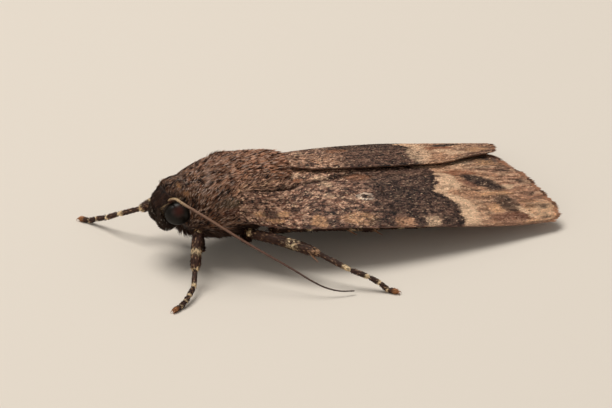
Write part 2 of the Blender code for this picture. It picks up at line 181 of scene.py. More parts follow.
def add_trunk(bm, stations, inset, peak=0.0, rings=48, ringed=0.0):
    """Body through egg-shaped rings along the stations; ringed is the depth of an abdomen's joints."""
    centre, tall, wide = (curve(stations, k) for k in (1, 2, 3))
    start, end = stations[0][0] + inset, stations[-1][0] - inset
    turns = np.linspace(0, 2 * pi, TRUNK_SIDES, endpoint=False)
    c, s = np.cos(turns), np.sin(turns)
    tuck = 1 - np.where(s < 0, LOWER_TUCK, peak) * s * s
    points = []
    for i in range(rings):
        x = start + (end - start) * (0.5 - 0.5 * cos(pi * (i + 0.5) / rings))
        girth = 1 - ringed * (0.5 + 0.5 * cos(2 * pi * (x - start) / SEGMENT)) ** 6
        w, h = max(wide(x) * girth - inset, 0.05), max(tall(x) * girth - inset, 0.05)
        points += list(np.stack([np.full(TRUNK_SIDES, x), w * c * tuck, centre(x) + h * s], -1))
    points += [(start - 0.02, 0, centre(start)), (end + 0.02, 0, centre(end))]
    made = [bm.verts.new(point) for point in points]
    for face in ring_faces(rings, TRUNK_SIDES):
        bm.faces.new([made[i] for i in face])


def add_egg(bm, centre, radii, lean=0.0):
    """Egg whose top leans towards the mid-line."""
    made = bmesh.ops.create_uvsphere(bm, u_segments=32, v_segments=20, radius=1.0)["verts"]
    for vert in made:
        x, y, z = (c * r for c, r in zip(vert.co, radii))
        leant = (x, y * cos(lean) - z * sin(lean), y * sin(lean) + z * cos(lean))
        vert.co = Vector(centre) + Vector(leant)


def baked_out(piece):
    """The piece's mesh as its modifiers leave it, with the modifiers gone."""
    graph = bpy.context.evaluated_depsgraph_get()
    mesh = bpy.data.meshes.new_from_object(piece.evaluated_get(graph), preserve_all_data_layers=True,
                                           depsgraph=graph)
    piece.modifiers.clear()
    piece.data = mesh
    mesh.name = piece.name
    return mesh


def read(points, key, parts=3):
    """One value, or a vector of several parts, of each of a mesh's points."""
    flat = np.empty(len(points) * parts, np.float32)
    points.foreach_get(key, flat)
    return flat.reshape(-1, parts).astype(float) if parts > 1 else flat.astype(float)


def settle(mesh):
    """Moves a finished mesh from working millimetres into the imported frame, nothing below the floor."""
    points = read(mesh.vertices, "co")
    points[:, 2] = np.maximum(points[:, 2], FLOOR_GAP)
    mesh.vertices.foreach_set("co", place(points).astype(np.float32).ravel())
    mesh.update()


def blotches(points, size, seed):
    """Smooth random values from 0 to 1 in blotches of about the given size; size may differ by axis."""
    cells = np.asarray(points, float) / size
    base = np.floor(cells).astype(np.int64)
    part = cells - base
    part = part * part * (3 - 2 * part)
    steps = np.array(SCATTER_STEPS)[:cells.shape[-1]]
    total = np.zeros(cells.shape[:-1])
    for corner in np.ndindex(*(2,) * cells.shape[-1]):
        key = ((base + corner) * steps).sum(-1) + seed * SCATTER_SEED
        key = ((key ^ (key >> 13)) * SCATTER_FIRST) & 0xFFFFFFFF
        key = ((key ^ (key >> 16)) * SCATTER_LAST) & 0xFFFFFFFF
        total += (key ^ (key >> 15)) / 2.0**32 * np.prod(np.where(corner, part, 1 - part), -1)
    return total


def mix(one, two, share):
    """Blends two colours, or arrays of them, by a share that may be an array."""
    share = np.clip(np.asarray(share, float), 0, 1)[..., None]
    return np.asarray(one) * (1 - share) + np.asarray(two) * share


def fade(value, start, end):
    """0 up to start, 1 from end on, smooth between."""
    t = np.clip((np.asarray(value, float) - start) / (end - start), 0, 1)
    return t * t * (3 - 2 * t)


def fall(value, start, end):
    """1 up to start, 0 from end on, smooth between."""
    return fade(-value, -end, -start)


def layered(colours, *layers):
    """Lays one colour after another over the first; each comes with its share."""
    for tone, share in layers:
        colours = mix(colours, tone, share)
    return colours


def bell(value, reach):
    """1 where the value is 0, falling off smoothly on both sides."""
    return np.exp(-(value / reach) ** 2)


def set_values(mesh, name, values, kind="FLOAT"):
    """Stores a value, a vector or a colour for each point."""
    key = {"FLOAT": "value", "FLOAT_VECTOR": "vector", "FLOAT_COLOR": "color"}[kind]
    mesh.attributes.new(name, kind, "POINT").data.foreach_set(key, np.asarray(values, np.float32).ravel())


def set_tint(mesh, colours):
    """Stores the colour for each point that the material reads."""
    opaque = np.ones((len(colours), 1))
    set_values(mesh, "tint", np.concatenate([np.clip(colours, 0, 1), opaque], 1), "FLOAT_COLOR")


def add_node(tree, kind, inputs=(), **settings):
    """Adds a node; each of its inputs is given a constant or a link from another node's output."""
    node = tree.nodes.new(kind)
    for key, value in settings.items():
        setattr(node, key, value)
    for key, value in dict(inputs).items():
        if isinstance(value, bpy.types.NodeSocket):
            tree.links.new(value, node.inputs[key])
        else:
            node.inputs[key].default_value = value
    return node


def tinted_material(name, roughness, grain, bump, specular=0.5, shade=0.25):
    """Surface coloured by the tint attribute, mottled and roughened by fine noise of the given grain."""
    made = new_material(name, {"Roughness": roughness, "Specular IOR Level": specular})
    tree = made.node_tree
    shader = tree.nodes["Principled BSDF"]
    tint = add_node(tree, "ShaderNodeAttribute", attribute_name="tint")
    where = add_node(tree, "ShaderNodeTexCoord")
    noise = add_node(tree, "ShaderNodeTexNoise", {
        "Vector": where.outputs["Object"], "Scale": 1000 / grain, "Detail": 4})
    spread = add_node(tree, "ShaderNodeMapRange", {
        "Value": noise.outputs["Fac"], "From Min": 0.3, "From Max": 0.7, "To Min": 1 - shade,
        "To Max": 1 + shade})
    scaled = add_node(tree, "ShaderNodeVectorMath", {
        0: tint.outputs["Color"], "Scale": spread.outputs["Result"]}, operation="SCALE")
    tree.links.new(scaled.outputs["Vector"], shader.inputs["Base Color"])
    if bump:
        bumped = add_node(tree, "ShaderNodeBump", {
            "Strength": bump, "Distance": grain * 0.0005, "Height": noise.outputs["Fac"]})
        tree.links.new(bumped.outputs["Normal"], shader.inputs["Normal"])
    return made


def painted_piece(mesh, colours, finish):
    """Colours a finished mesh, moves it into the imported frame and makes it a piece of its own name."""
    set_tint(mesh, colours)
    mesh.materials.append(finish)
    settle(mesh)
    return new_piece(mesh.name, mesh)


bm = bmesh.new()
add_trunk(bm, HEAD, HEAD_COAT, HEAD_PEAK)
add_trunk(bm, COLLAR, COLLAR_COAT, BACK_PEAK)
add_trunk(bm, THORAX, THORAX_COAT, BACK_PEAK)
add_trunk(bm, ABDOMEN, ABDOMEN_COAT, rings=120, ringed=SEGMENT_DEPTH)
for side in (-1, 1):
    x, q, z = LOBE_CENTRE
    add_egg(bm, (x, q * side, z), [r - LOBE_COAT for r in LOBE_RADII], LOBE_LEAN * side)
skin_mesh = bpy.data.meshes.new("skin")
bmesh.ops.recalc_face_normals(bm, faces=bm.faces)
bm.to_mesh(skin_mesh)
bm.free()
skin = new_piece("skin", skin_mesh)
fuse = skin.modifiers.new("fuse", "REMESH")
fuse.mode, fuse.voxel_size, fuse.use_smooth_shade = "VOXEL", SKIN_VOXEL, True
soften = skin.modifiers.new("soften", "SMOOTH")
soften.factor, soften.iterations = 0.5, SKIN_SMOOTHING
skin_mesh = baked_out(skin)


def eye_distance(points):
    """How far the points are from the nearer eye's centre, in shares of its radii."""
    near = np.asarray(points, float) * (1, 0, 1) + np.abs(points) * (0, 1, 0)
    return np.linalg.norm((near - EYE_CENTRE) / EYE_RADII, axis=-1)


SKIN_POINTS = read(skin_mesh.vertices, "co")
sides = np.where(SKIN_POINTS[:, 1:2] > 0, 1.0, -1.0)
centres = np.array(EYE_CENTRE) * np.concatenate([np.ones_like(sides), sides, np.ones_like(sides)], 1)
away = eye_distance(SKIN_POINTS)
outward = np.clip((away - SOCKET_EDGE) / (SOCKET_REACH - SOCKET_EDGE), 0, 1)
dipped = SOCKET_DEPTH + (SOCKET_REACH - SOCKET_DEPTH) * outward
pull = np.where((away < SOCKET_REACH) & (away > SOCKET_DEPTH), dipped / away, 1.0)[:, None]
SKIN_POINTS = centres + (SKIN_POINTS - centres) * pull
skin_mesh.vertices.foreach_set("co", SKIN_POINTS.astype(np.float32).ravel())
skin_mesh.update()
SKIN_NORMALS = read(skin_mesh.vertex_normals, "vector")
bare_skin = skin_mesh.copy()  # the ground on which the body's coats grow

# ----------------------------------------
# Eyes: two smooth dark compound eyes let deep into the sides of the head, glossy black-brown with a
# painted dull red reflection, and a fine net of facets.
EYE_COLOUR, EYE_PAINTED_REFLECTION = (0.008, 0.006, 0.004), (0.058, 0.016, 0.011)
EYE_SHINE = {"Roughness": 0.38, "Specular IOR Level": 0.16, "Coat Weight": 0.07, "Coat Roughness": 0.15}
REFLECTION_PLACE, REFLECTION_REACH = (-4.2, 1.87, 4.72), 0.62  # middle and size of the painted red reflection
FACET, FACET_UNEVENNESS, FACET_BUMP = 0.028, 0.25, 0.18

eye_finish = new_material("eye", EYE_SHINE)
tree = eye_finish.node_tree
shader = tree.nodes["Principled BSDF"]
where = add_node(tree, "ShaderNodeTexCoord")
facets = add_node(tree, "ShaderNodeTexVoronoi", {
    "Vector": where.outputs["Object"], "Scale": 1000 / FACET, "Randomness": FACET_UNEVENNESS})
bumped = add_node(tree, "ShaderNodeBump", {
    "Strength": FACET_BUMP, "Distance": FACET * 0.0004, "Height": facets.outputs["Distance"]},
    invert=True)
tree.links.new(bumped.outputs["Normal"], shader.inputs["Normal"])
tint = add_node(tree, "ShaderNodeAttribute", attribute_name="tint")
tree.links.new(tint.outputs["Color"], shader.inputs["Base Color"])

for name, side in SIDES:
    bm = bmesh.new()
    bmesh.ops.create_icosphere(bm, subdivisions=5, radius=1.0)
    bmesh.ops.scale(bm, verts=bm.verts, vec=EYE_RADII)
    bmesh.ops.translate(bm, verts=bm.verts, vec=(EYE_CENTRE[0], EYE_CENTRE[1] * side, EYE_CENTRE[2]))
    mesh = bpy.data.meshes.new(f"compound_eye_{name}")
    bm.to_mesh(mesh)
    bm.free()
    mesh.shade_smooth()
    # a painted dull red reflection on the outer side of each eye, fading into the dark
    away = np.linalg.norm(read(mesh.vertices, "co") * (1, side, 1) - REFLECTION_PLACE, axis=1)
    eye = painted_piece(mesh, mix(EYE_PAINTED_REFLECTION, EYE_COLOUR, fade(away, 0.0, REFLECTION_REACH)), eye_finish)
    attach(eye, "root")
    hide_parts(f"eye_{name}")

# ----------------------------------------
# Body coat: hair-like scales rooted in the skin, dark brown flecked with tan and grey-white. They stand
# up a little on the crown and the back, hang long and soft below, and end in a crest over the wings.
HAIR_SPACING = {"head": 0.044, "thorax": 0.048, "belly": 0.07, "abdomen": 0.085}
HAIR_TURN, HAIR_LIFT = 0.28, 0.16  # random turn, and how steeply a hair leaves the skin
LENGTH_SPREAD, WIDTH_SPREAD = 0.28, 0.2  # how much one hair or scale differs from another
BAKE_PATCH = 0.003  # width of a blade's patch on its unwrap
HEAD_BROWN, THORAX_BROWN, THORAX_DARK = (0.034, 0.014, 0.009), (0.2, 0.088, 0.052), (0.035, 0.016, 0.01)
HAIR_TAN, HAIR_GREY, HAIR_RUST = (0.6, 0.31, 0.18), (0.62, 0.45, 0.36), (0.26, 0.095, 0.045)
# the belly's dark brown is painted shade under the body
BELLY_SHADE_BROWN, ABDOMEN_BROWN, ABDOMEN_GREY = (0.05, 0.026, 0.017), (0.21, 0.125, 0.08), (0.33, 0.23, 0.165)
DARK_FLECK, PALE_FLECK = (0.018, 0.01, 0.008), (0.66, 0.4, 0.27)
EYE_RIM_TAN, LOBE_RED, LOBE_OLIVE = (0.46, 0.32, 0.18), (0.2, 0.075, 0.05), (0.095, 0.085, 0.05)
NAPE_SPOTS, NAPE_ORANGE = ((-3.85, 6.05, 0.14), (-3.45, 5.5, 0.2)), (0.52, 0.25, 0.1)  # x, z, reach
AXIS_HEIGHT = [(-5, 4.6), (-3, 4.4), (4, 4.0), (6, 2.5), (17, 1.7)]  # of the body, for its unwrap
UNWRAP_START, UNWRAP_LENGTH = -6, 24  # the stretch of x that it covers


def closed_mesh(name, points, faces):
    """A mesh of the given points and faces, all turned outward."""
    mesh = bpy.data.meshes.new(name)
    mesh.from_pydata(points, [], faces)
    bm = bmesh.new()
    bm.from_mesh(mesh)
    bmesh.ops.recalc_face_normals(bm, faces=bm.faces)
    bm.to_mesh(mesh)
    bm.free()
    return mesh


def blade_piece(name, outline, keel):
    """One closed hair or scale, a unit long from its root at the origin along +Y, flat side up: its four
    outline points go round its upper face, and the keel closes it below. It holds its place as blade."""
    points = outline + [keel]
    faces = [(0, 1, 2), (0, 2, 3)] + [((i + 1) % 4, i, 4) for i in range(4)]
    mesh = closed_mesh(name, points, faces)
    set_values(mesh, "blade", [(x + 0.5, y, 0) for x, y, _ in points], "FLOAT_VECTOR")
    made = new_piece(name, mesh)
    made.hide_render = True
    return made


def build_coat_tree():
    """Blades strewn over a surface. The surface's attributes say where each lies (lie), its length and
    width, how steeply it stands (stand) and how thickly the place is covered (cover)."""
    tree = bpy.data.node_groups.new("coat", "GeometryNodeTree")
    sockets = {}
    for name, kind in (("Surface", "Geometry"), ("Blade", "Object"), ("Spacing", "Float"),
                       ("Turn", "Float"), ("Lift", "Float"), ("Seed", "Int"), ("Finish", "Material")):
        made = tree.interface.new_socket(name, in_out="INPUT", socket_type="NodeSocket" + kind)
        sockets[name] = made.identifier
    tree.interface.new_socket("Coat", in_out="OUTPUT", socket_type="NodeSocketGeometry")
    given, result = tree.nodes.new("NodeGroupInput").outputs, tree.nodes.new("NodeGroupOutput")

    def add(kind, inputs, **settings):
        return add_node(tree, kind, inputs, **settings).outputs

    def stored(name, kind="FLOAT"):
        return add("GeometryNodeInputNamedAttribute", {"Name": name}, data_type=kind)["Attribute"]

    def maths(operation, one, two):
        return add("ShaderNodeMath", {0: one, 1: two}, operation=operation)[0]

    def chance(spread, salt):
        """A random number from -spread to spread, or from 0 to 1 if there is no spread; each salt gives
        other numbers."""
        inputs = {"Seed": maths("ADD", given["Seed"], salt)}
        if spread is not None:
            inputs.update({"Min": maths("MULTIPLY", spread, -1.0), "Max": spread})
        return add("FunctionNodeRandomValue", inputs)[1]

    thick = maths("DIVIDE", 3.0, maths("MULTIPLY", given["Spacing"], given["Spacing"]))
    strewn = add("GeometryNodeDistributePointsOnFaces", {
        "Mesh": given["Surface"], "Distance Min": given["Spacing"], "Density Max": thick,
        "Density Factor": stored("cover"), "Seed": given["Seed"]}, distribute_method="POISSON")
    laid = add("FunctionNodeAxesToRotation", {
        "Primary Axis": strewn["Normal"], "Secondary Axis": stored("lie", "FLOAT_VECTOR")},
        primary_axis="Z", secondary_axis="Y")[0]
    rise = maths("ADD", maths("ADD", stored("stand"), given["Lift"]), chance(given["Lift"], 11))
    angles = add("ShaderNodeCombineXYZ", {
        "X": rise, "Y": chance(given["Turn"], 12), "Z": chance(given["Turn"], 13)})[0]
    tilt = add("FunctionNodeEulerToRotation", {"Euler": angles})[0]
    turned = add("FunctionNodeRotateRotation", {"Rotation": laid, "Rotate By": tilt},
                 rotation_space="LOCAL")[0]
    length = maths("MULTIPLY", stored("length"), maths("ADD", 1.0, chance(LENGTH_SPREAD, 14)))
    width = maths("MULTIPLY", stored("width"), maths("ADD", 1.0, chance(WIDTH_SPREAD, 15)))
    size = add("ShaderNodeCombineXYZ", {"X": width, "Y": length, "Z": length})[0]
    blade = add("GeometryNodeObjectInfo", {"Object": given["Blade"], "As Instance": False},
                transform_space="ORIGINAL")["Geometry"]
    planted = add("GeometryNodeInstanceOnPoints", {
        "Points": strewn["Points"], "Instance": blade, "Rotation": turned, "Scale": size})[0]
    for name, salt in (("chance", 21), ("pick", 22)):
        planted = add("GeometryNodeStoreNamedAttribute", {
            "Geometry": planted, "Name": name, "Value": chance(None, salt)},
            data_type="FLOAT", domain="INSTANCE")[0]
    solid = add("GeometryNodeRealizeInstances", {"Geometry": planted})[0]
    painted = add("GeometryNodeSetMaterial", {"Geometry": solid, "Material": given["Finish"]})[0]
    tree.links.new(painted, result.inputs[0])
    return tree, sockets


def make_ground(mesh, spot, home, lie, length, width, cover=1.0, stand=0.0):
    """Gives a mesh what the coat tree reads, its points' spots for colour and homes on the unwrap."""
    for name, values in (("cover", cover), ("length", length), ("width", width), ("stand", stand)):
        set_values(mesh, name, np.broadcast_to(values, len(spot)))
    for name, values in (("lie", lie), ("spot", spot), ("home", home)):
        set_values(mesh, name, values, "FLOAT_VECTOR")
    return mesh


def grow_coat(name, ground, blade, finish, colour, spacing, seed, turn=HAIR_TURN, lift=HAIR_LIFT):
    """Strews blades on the ground and paints each from its root: colour takes the roots' spots, two
    random numbers and how far along the blade a point is."""
    piece = new_piece(name, ground)
    modifier = piece.modifiers.new("coat", "NODES")
    modifier.node_group = coat_tree
    given = {"Blade": blade, "Spacing": spacing, "Seed": seed, "Turn": turn, "Lift": lift,
             "Finish": finish}
    for key, value in given.items():
        modifier[coat_sockets[key]] = value
    mesh = baked_out(piece)
    along, spot, home = (read(mesh.attributes[key].data, "vector") for key in ("blade", "spot", "home"))
    chance, pick = (read(mesh.attributes[key].data, "value", 1) for key in ("chance", "pick"))
    set_tint(mesh, colour(spot, chance, pick, along[:, 1]))
    patch = home[:, :2] + (along[:, :2] - 0.5) * BAKE_PATCH
    corners = np.empty(len(mesh.loops), np.int32)
    mesh.loops.foreach_get("vertex_index", corners)
    mesh.uv_layers.new(name="OFBake").data.foreach_set("uv", patch[corners].astype(np.float32).ravel())
    for key in ("blade", "spot", "home", "lie", "length", "width", "stand", "cover", "chance", "pick"):
        if key in mesh.attributes:
            mesh.attributes.remove(mesh.attributes[key])
    settle(mesh)
    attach(piece, "root")


coat_tree, coat_sockets = build_coat_tree()
hair = blade_piece("hair_blade", outline=[(0, 0, 0), (-0.5, 0.5, 0.03), (0, 1, -0.02), (0.5, 0.5, 0.03)],
                   keel=(0, 0.45, -0.03))
hair_finish = tinted_material("hair_scales", roughness=0.6, grain=0.09, bump=0, specular=0.2, shade=0.2)
skin_finish = tinted_material("skin", roughness=0.7, grain=0.15, bump=0.5, shade=0.35)


def regions(points):
    """How much each point belongs to the head, the belly and the abdomen, each from 0 to 1."""
    x, y, z = np.asarray(points, float).T
    head = fade(-x, 3.95, 4.25) * fade(-np.hypot(y / 1.5, (z - 4.5) / 1.25), -1.12, -0.98)
    abdomen = np.maximum(fade(x, 4.6, 5.2), fade(x, 3.2, 3.6) * fall(z, 3.3, 3.7))
    belly = fall(z, 2.5, 3.3) * (1 - abdomen) * (1 - head)
    return head, belly, abdomen


def flecked(colours, grid, size, dark, pale, seed):
    """Short dark and pale flecks: speckled scales, and painted shade and highlight of raised clumps."""
    fleck = 0.6 * blotches(grid, size, seed) + 0.4 * blotches(grid, np.multiply(size, 0.5), seed + 1)
    colours = mix(colours, DARK_FLECK, (1 - fade(fleck, 0.4, 0.47)) * dark)
    return mix(colours, PALE_FLECK, fade(fleck, 0.535, 0.6) * pale)


def body_colour(spot, chance, pick, along):
    """Colour of the hair rooted at a spot: patches of brown, with lone tan, rust and grey-white hairs."""
    x, y, z = spot.T
    head, belly, abdomen = regions(spot)
    # light makes the fur paler towards the back, where the hair tips are pale, and towards the top, which
    # is painted light from above; the lower sides stay dark as painted shade
    high, behind = fade(z, 5.2, 6.6), fade(x, -2.5, 2.5)
    light = np.clip(0.15 * high + 0.4 * behind + 0.55 * high * behind, 0, 1) * fade(z, 3.4, 4.6)
    colours = mix(THORAX_DARK, THORAX_BROWN, 0.02 + 0.3 * blotches(spot, 1.1, 3) + 0.72 * light)
    slanted = np.stack([x * 0.83 + z * 0.55, y, z * 0.83 - x * 0.55], -1)
    # fewer pale flecks on the head and the front, and on the belly as part of its painted shade
    open_fur = (1 - 0.85 * head) * (1 - 0.7 * belly) * (1 - 0.45 * fade(-x, 2.6, 3.6))
    colours = mix(colours, HEAD_BROWN, head * 0.95)
    colours = flecked(colours, slanted, (0.3, 0.14, 0.12), 1.0, (0.5 + 0.5 * light) * open_fur, 5)
    colours = colours * (1 - 0.42 * fade(-x, 1.2, 3.0) * (1 - head))[:, None]
    stripe = bell((x + 2.0) - 0.35 * (z - 6.2), 0.12) * fade(-y, 0.3, 0.8) * fade(z, 5.9, 6.3)
    colours = layered(
        colours,
        (HAIR_TAN, (pick > 0.86) * open_fur * (0.5 + 0.5 * light)),
        (HAIR_GREY, (pick < 0.15) * open_fur * (0.6 + 0.3 * chance)),
        (HAIR_RUST, (np.abs(pick - 0.5) < 0.05) * open_fur * 0.6),
        (HAIR_GREY, stripe * 0.6))
    for place_x, place_z, reach in NAPE_SPOTS:
        share = np.exp(-((x - place_x) ** 2 + (z - place_z) ** 2) / reach ** 2)
        colours = mix(colours, NAPE_ORANGE, share * (0.4 + 0.6 * chance) * 0.8)
    rim = bell(eye_distance(spot) - 1.12, 0.05) * fade(-x, 3.7, 4.2) * fade(z, 3.4, 3.8)
    lobe = np.exp(-((x + 0.6) / 1.1) ** 2 - ((z - 4.9) / 0.6) ** 2) * fade(np.abs(y), 2.3, 2.8)
    ring = 0.5 + 0.5 * np.cos(2 * pi * (x - ABDOMEN[0][0] - ABDOMEN_COAT) / SEGMENT) * (0.4 + 0.6 * pick)
    # eye rim, shoulder lobes, the belly in painted shade, and the ringed abdomen
    colours = layered(
        colours,
        (EYE_RIM_TAN, rim * (0.5 + 0.5 * chance)),
        (mix(LOBE_RED, LOBE_OLIVE, fade(z, 4.5, 5.1)), lobe * 0.6),
        (BELLY_SHADE_BROWN, belly * 0.85),
        (mix(ABDOMEN_BROWN, ABDOMEN_GREY, ring), abdomen))
    return colours * (0.62 + 0.55 * chance + 0.25 * along)[:, None]


def body_ground(cover, length, width, stand):
    """A copy of the bare skin for a coat to grow on. Its unwrap goes round the body."""
    x, y, z = SKIN_POINTS.T
    round_it = np.arctan2(y, z - np.interp(x, *zip(*AXIS_HEIGHT))) / (2 * pi) + 0.5
    along = 0.96 * (x - UNWRAP_START) / UNWRAP_LENGTH
    home = np.stack([0.02 + along, 0.02 + 0.96 * round_it, 0 * x], -1)
    return make_ground(bare_skin.copy(), SKIN_POINTS, home, BODY_LIE, length, width, cover, stand)


x, y, z = SKIN_POINTS.T
head, belly, abdomen = regions(SKIN_POINTS)
in_eye = 1 - fade(eye_distance(SKIN_POINTS), 1.02, 1.1)
collar = fade(-x, 2.9, 3.5) * (1 - head)
crest = fade(x, 1.8, 3.6) * (1 - abdomen) * (1 - belly) * fade(z, 4.6, 5.6)
front = fade(-x, 5.0, 5.5)
nape = fade(-x, 1.6, 3.2) * fade(z, 5.0, 5.8)

# the hair points back and up on the thorax, forward and down on the head, back and down on the belly
back_rise = (0.75 + 0.8 * fade(-x, 1.8, 3.8)) * fall(z, 5.6, 6.6) * fall(x, 1.5, 3.5)
lie = np.stack([1.0 + 0 * x, -0.05 * y, back_rise], -1)
lie = mix(lie, np.stack([-0.8 + 0.2 * front, 0.25 * y, -0.15 - 0.9 * front], -1), head)
lie = mix(lie, np.stack([0.55 + 0 * x, 0.1 * y, -0.6 + 0 * x], -1), belly)
BODY_LIE = lie - SKIN_NORMALS * (lie * SKIN_NORMALS).sum(-1, keepdims=True)

skin_mesh.materials.append(skin_finish)
set_tint(skin_mesh, body_colour(SKIN_POINTS, 0.3 + 0 * x, 0.5 + 0 * x, 0 * x) * 0.55)
settle(skin_mesh)
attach(skin, "root")
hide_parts("head", "collar", "thorax", "tegula_left", "tegula_right", "abdomen")

flank = fade(np.abs(y), 2.6, 3.0)
back_length = (0.46 - 0.08 * collar + 0.25 * crest) * (1 - 0.4 * nape) * (1 - 0.35 * flank)
back_stand = 0.2 * fade(z, 6.0, 6.8) * (1 - 0.4 * crest) * fade(x, -3.0, -1.8)
back = (1 - head) * (1 - belly) * (1 - abdomen) * (1 - in_eye)
crown_stand = 0.08 + 0.3 * fade(z, 5.1, 5.6)
BODY_COATS = {  # cover, length, width, stand and slot
    "head": (head * (1 - in_eye), 0.26 + 0.1 * (1 - front), 0.042, crown_stand, "brown_hair"),
    "thorax": (back, back_length, 0.066, back_stand, "brown_hair"),
    "belly": (belly * (1 - in_eye), 0.75, 0.05, 0.12, "brown_hair"),
    "abdomen": (abdomen, 0.55 + 0.5 * fade(x, 16.0, 17.2), 0.09, 0.0, "abdomen_hair")}
for seed, (part, (*sizes, slot)) in enumerate(BODY_COATS.items(), 31):
    grow_coat(f"{part}_hair", body_ground(*sizes), hair, hair_finish, body_colour,
              spacing=HAIR_SPACING[part], seed=seed)

# ----------------------------------------
# Palps: two upturned mouth feelers of three joints before the face, clothed in dense blackish scales with
# a few white flecks, and between them the coiled tongue, a ribbed brown tube.
PALP = [(-4.1, 0.7, 3.2), (-4.62, 0.72, 3.14), (-5.03, 0.72, 3.42), (-5.22, 0.7, 3.95),
        (-5.24, 0.66, 4.5)]
PALP_STATIONS = [(0, 0.24), (0.25, 0.31), (0.5, 0.29), (0.74, 0.2), (0.8, 0.14), (0.9, 0.14), (1, 0.08)]
PALP_BLACK, PALP_BROWN, PALP_WHITE = (0.04, 0.027, 0.019), (0.095, 0.05, 0.032), (0.55, 0.5, 0.44)
PALP_RINGS = 40
TUBE_END = 0.6  # how far a tube's pole stands out beyond its end, in radii
TONGUE_CENTRE, TONGUE_RADIUS, TONGUE_PITCH = (-4.5, 0.0, 3.0), 0.42, 0.38
TONGUE_THICK, TONGUE_TIP, TONGUE_RIBS, RIB_HEIGHT = 0.14, 0.08, 70, 0.05
TONGUE_BROWN, TONGUE_DARK = (0.13, 0.055, 0.028), (0.06, 0.025, 0.015)


def smooth_route(points, count):
    """Evenly spread points on a smooth curve through the given ones."""
    points = np.array(points, float)
    marks = np.concatenate([[0], np.cumsum(np.linalg.norm(np.diff(points, axis=0), axis=1))])
    stations = np.column_stack([marks, points])
    spread = np.linspace(0, marks[-1], count)
    return np.stack([curve(stations, k)(spread) for k in (1, 2, 3)], -1)


def tube(route, radii, sides):
    """Round closed tube along a route: its points, faces, headings, and how far along and round it is."""
    count = len(route)
    heading = np.gradient(route, axis=0)
    heading /= np.linalg.norm(heading, axis=1)[:, None]
    across = np.cross(heading[0], (0, 0, 1))
    turns = np.linspace(0, 2 * pi, sides, endpoint=False)
    c, s = np.cos(turns)[:, None], np.sin(turns)[:, None]
    rings = []
    for place, way, radius in zip(route, heading, radii):
        across = across - way * (across @ way)
        across /= np.linalg.norm(across)
        rings.append(place + radius * (c * across + s * np.cross(across, way)))
    ends = [route[0] - heading[0] * radii[0] * TUBE_END, route[-1] + heading[-1] * radii[-1] * TUBE_END]
    headings = np.concatenate([np.repeat(heading, sides, axis=0), heading[[0, -1]]])
    along = np.append(np.repeat(np.arange(count) / (count - 1), sides), [0, 1])
    round_it = np.append(np.tile(turns / (2 * pi), count), [0, 0])
    return np.concatenate([*rings, ends]), ring_faces(count, sides), headings, along, round_it


def joined_tubes(name, tubes, tags):
    """One mesh of several tubes, with each point's heading and spot: the tag of its tube, and how far
    along and round it is."""
    points, faces, headings, spots, base = [], [], [], [], 0
    for (places, quads, ways, along, round_it), tag in zip(tubes, tags):
        points.append(places)
        faces += [tuple(base + i for i in face) for face in quads]
        headings.append(ways)
        spots.append(np.stack([np.full(len(places), float(tag)), along, round_it], -1))
        base += len(places)
    mesh = closed_mesh(name, np.concatenate(points).tolist(), faces)
    mesh.shade_smooth()
    return mesh, np.concatenate(spots), np.concatenate(headings)


def limb_ground(mesh, spots, headings, strips, length, width, cover=1.0, stand=0.0):
    """A copy of the limbs' mesh for a coat to grow on, each limb in its own strip of the unwrap."""
    across = (spots[:, 0] + 0.1 + 0.8 * spots[:, 2]) / strips
    home = np.stack([0.02 + 0.96 * spots[:, 1], across, 0 * across], -1)
    return make_ground(mesh.copy(), spots, home, headings, length, width, cover, stand)


def palp_colour(spot, chance, pick, along):
    """Blackish brown, with lone white scales up to the last joint."""
    colours = layered(mix(PALP_BLACK, PALP_BROWN, chance * 0.8),
                      (PALP_WHITE, ((pick > 0.93) & (spot[:, 1] < 0.8)) * 0.75))
    return colours * (0.7 + 0.5 * along)[:, None]


girth = curve(PALP_STATIONS)(np.linspace(0, 1, PALP_RINGS))
palps, spots, headings = joined_tubes("palps", [
    tube(smooth_route(PALP, PALP_RINGS) * (1, side, 1), girth, sides=16) for _, side in SIDES], (0, 1))
ground = limb_ground(palps, spots, headings, strips=2, length=0.22, width=0.05, stand=0.28)
grow_coat("palp_hair", ground, hair, hair_finish, palp_colour, spacing=0.045, seed=41)
palps = painted_piece(palps, np.tile(PALP_BLACK, (len(spots), 1)), skin_finish)
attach(palps, "root")
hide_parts("palp_left", "palp_right")

turns = np.linspace(-0.5 * pi, 1.5 * pi, 6 * TONGUE_RIBS)
reach = TONGUE_RADIUS - TONGUE_PITCH * (turns + 0.5 * pi) / (2 * pi)
coil = np.stack([TONGUE_CENTRE[0] - reach * np.cos(turns), 0 * turns,
                 TONGUE_CENTRE[2] + reach * np.sin(turns)], -1)
ribs = np.cos(np.linspace(0, 2 * pi * TONGUE_RIBS, 6 * TONGUE_RIBS))
girth = np.linspace(TONGUE_THICK, TONGUE_TIP, len(coil)) * (1 + RIB_HEIGHT * ribs)
tongue, spots, _ = joined_tubes("tongue", [tube(coil, girth, sides=12)], (0,))
tongue = painted_piece(tongue, mix(TONGUE_BROWN, TONGUE_DARK, spots[:, 1]),
                       tinted_material("tongue", roughness=0.35, grain=0.1, bump=0.3))
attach(tongue, "root")
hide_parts("proboscis")

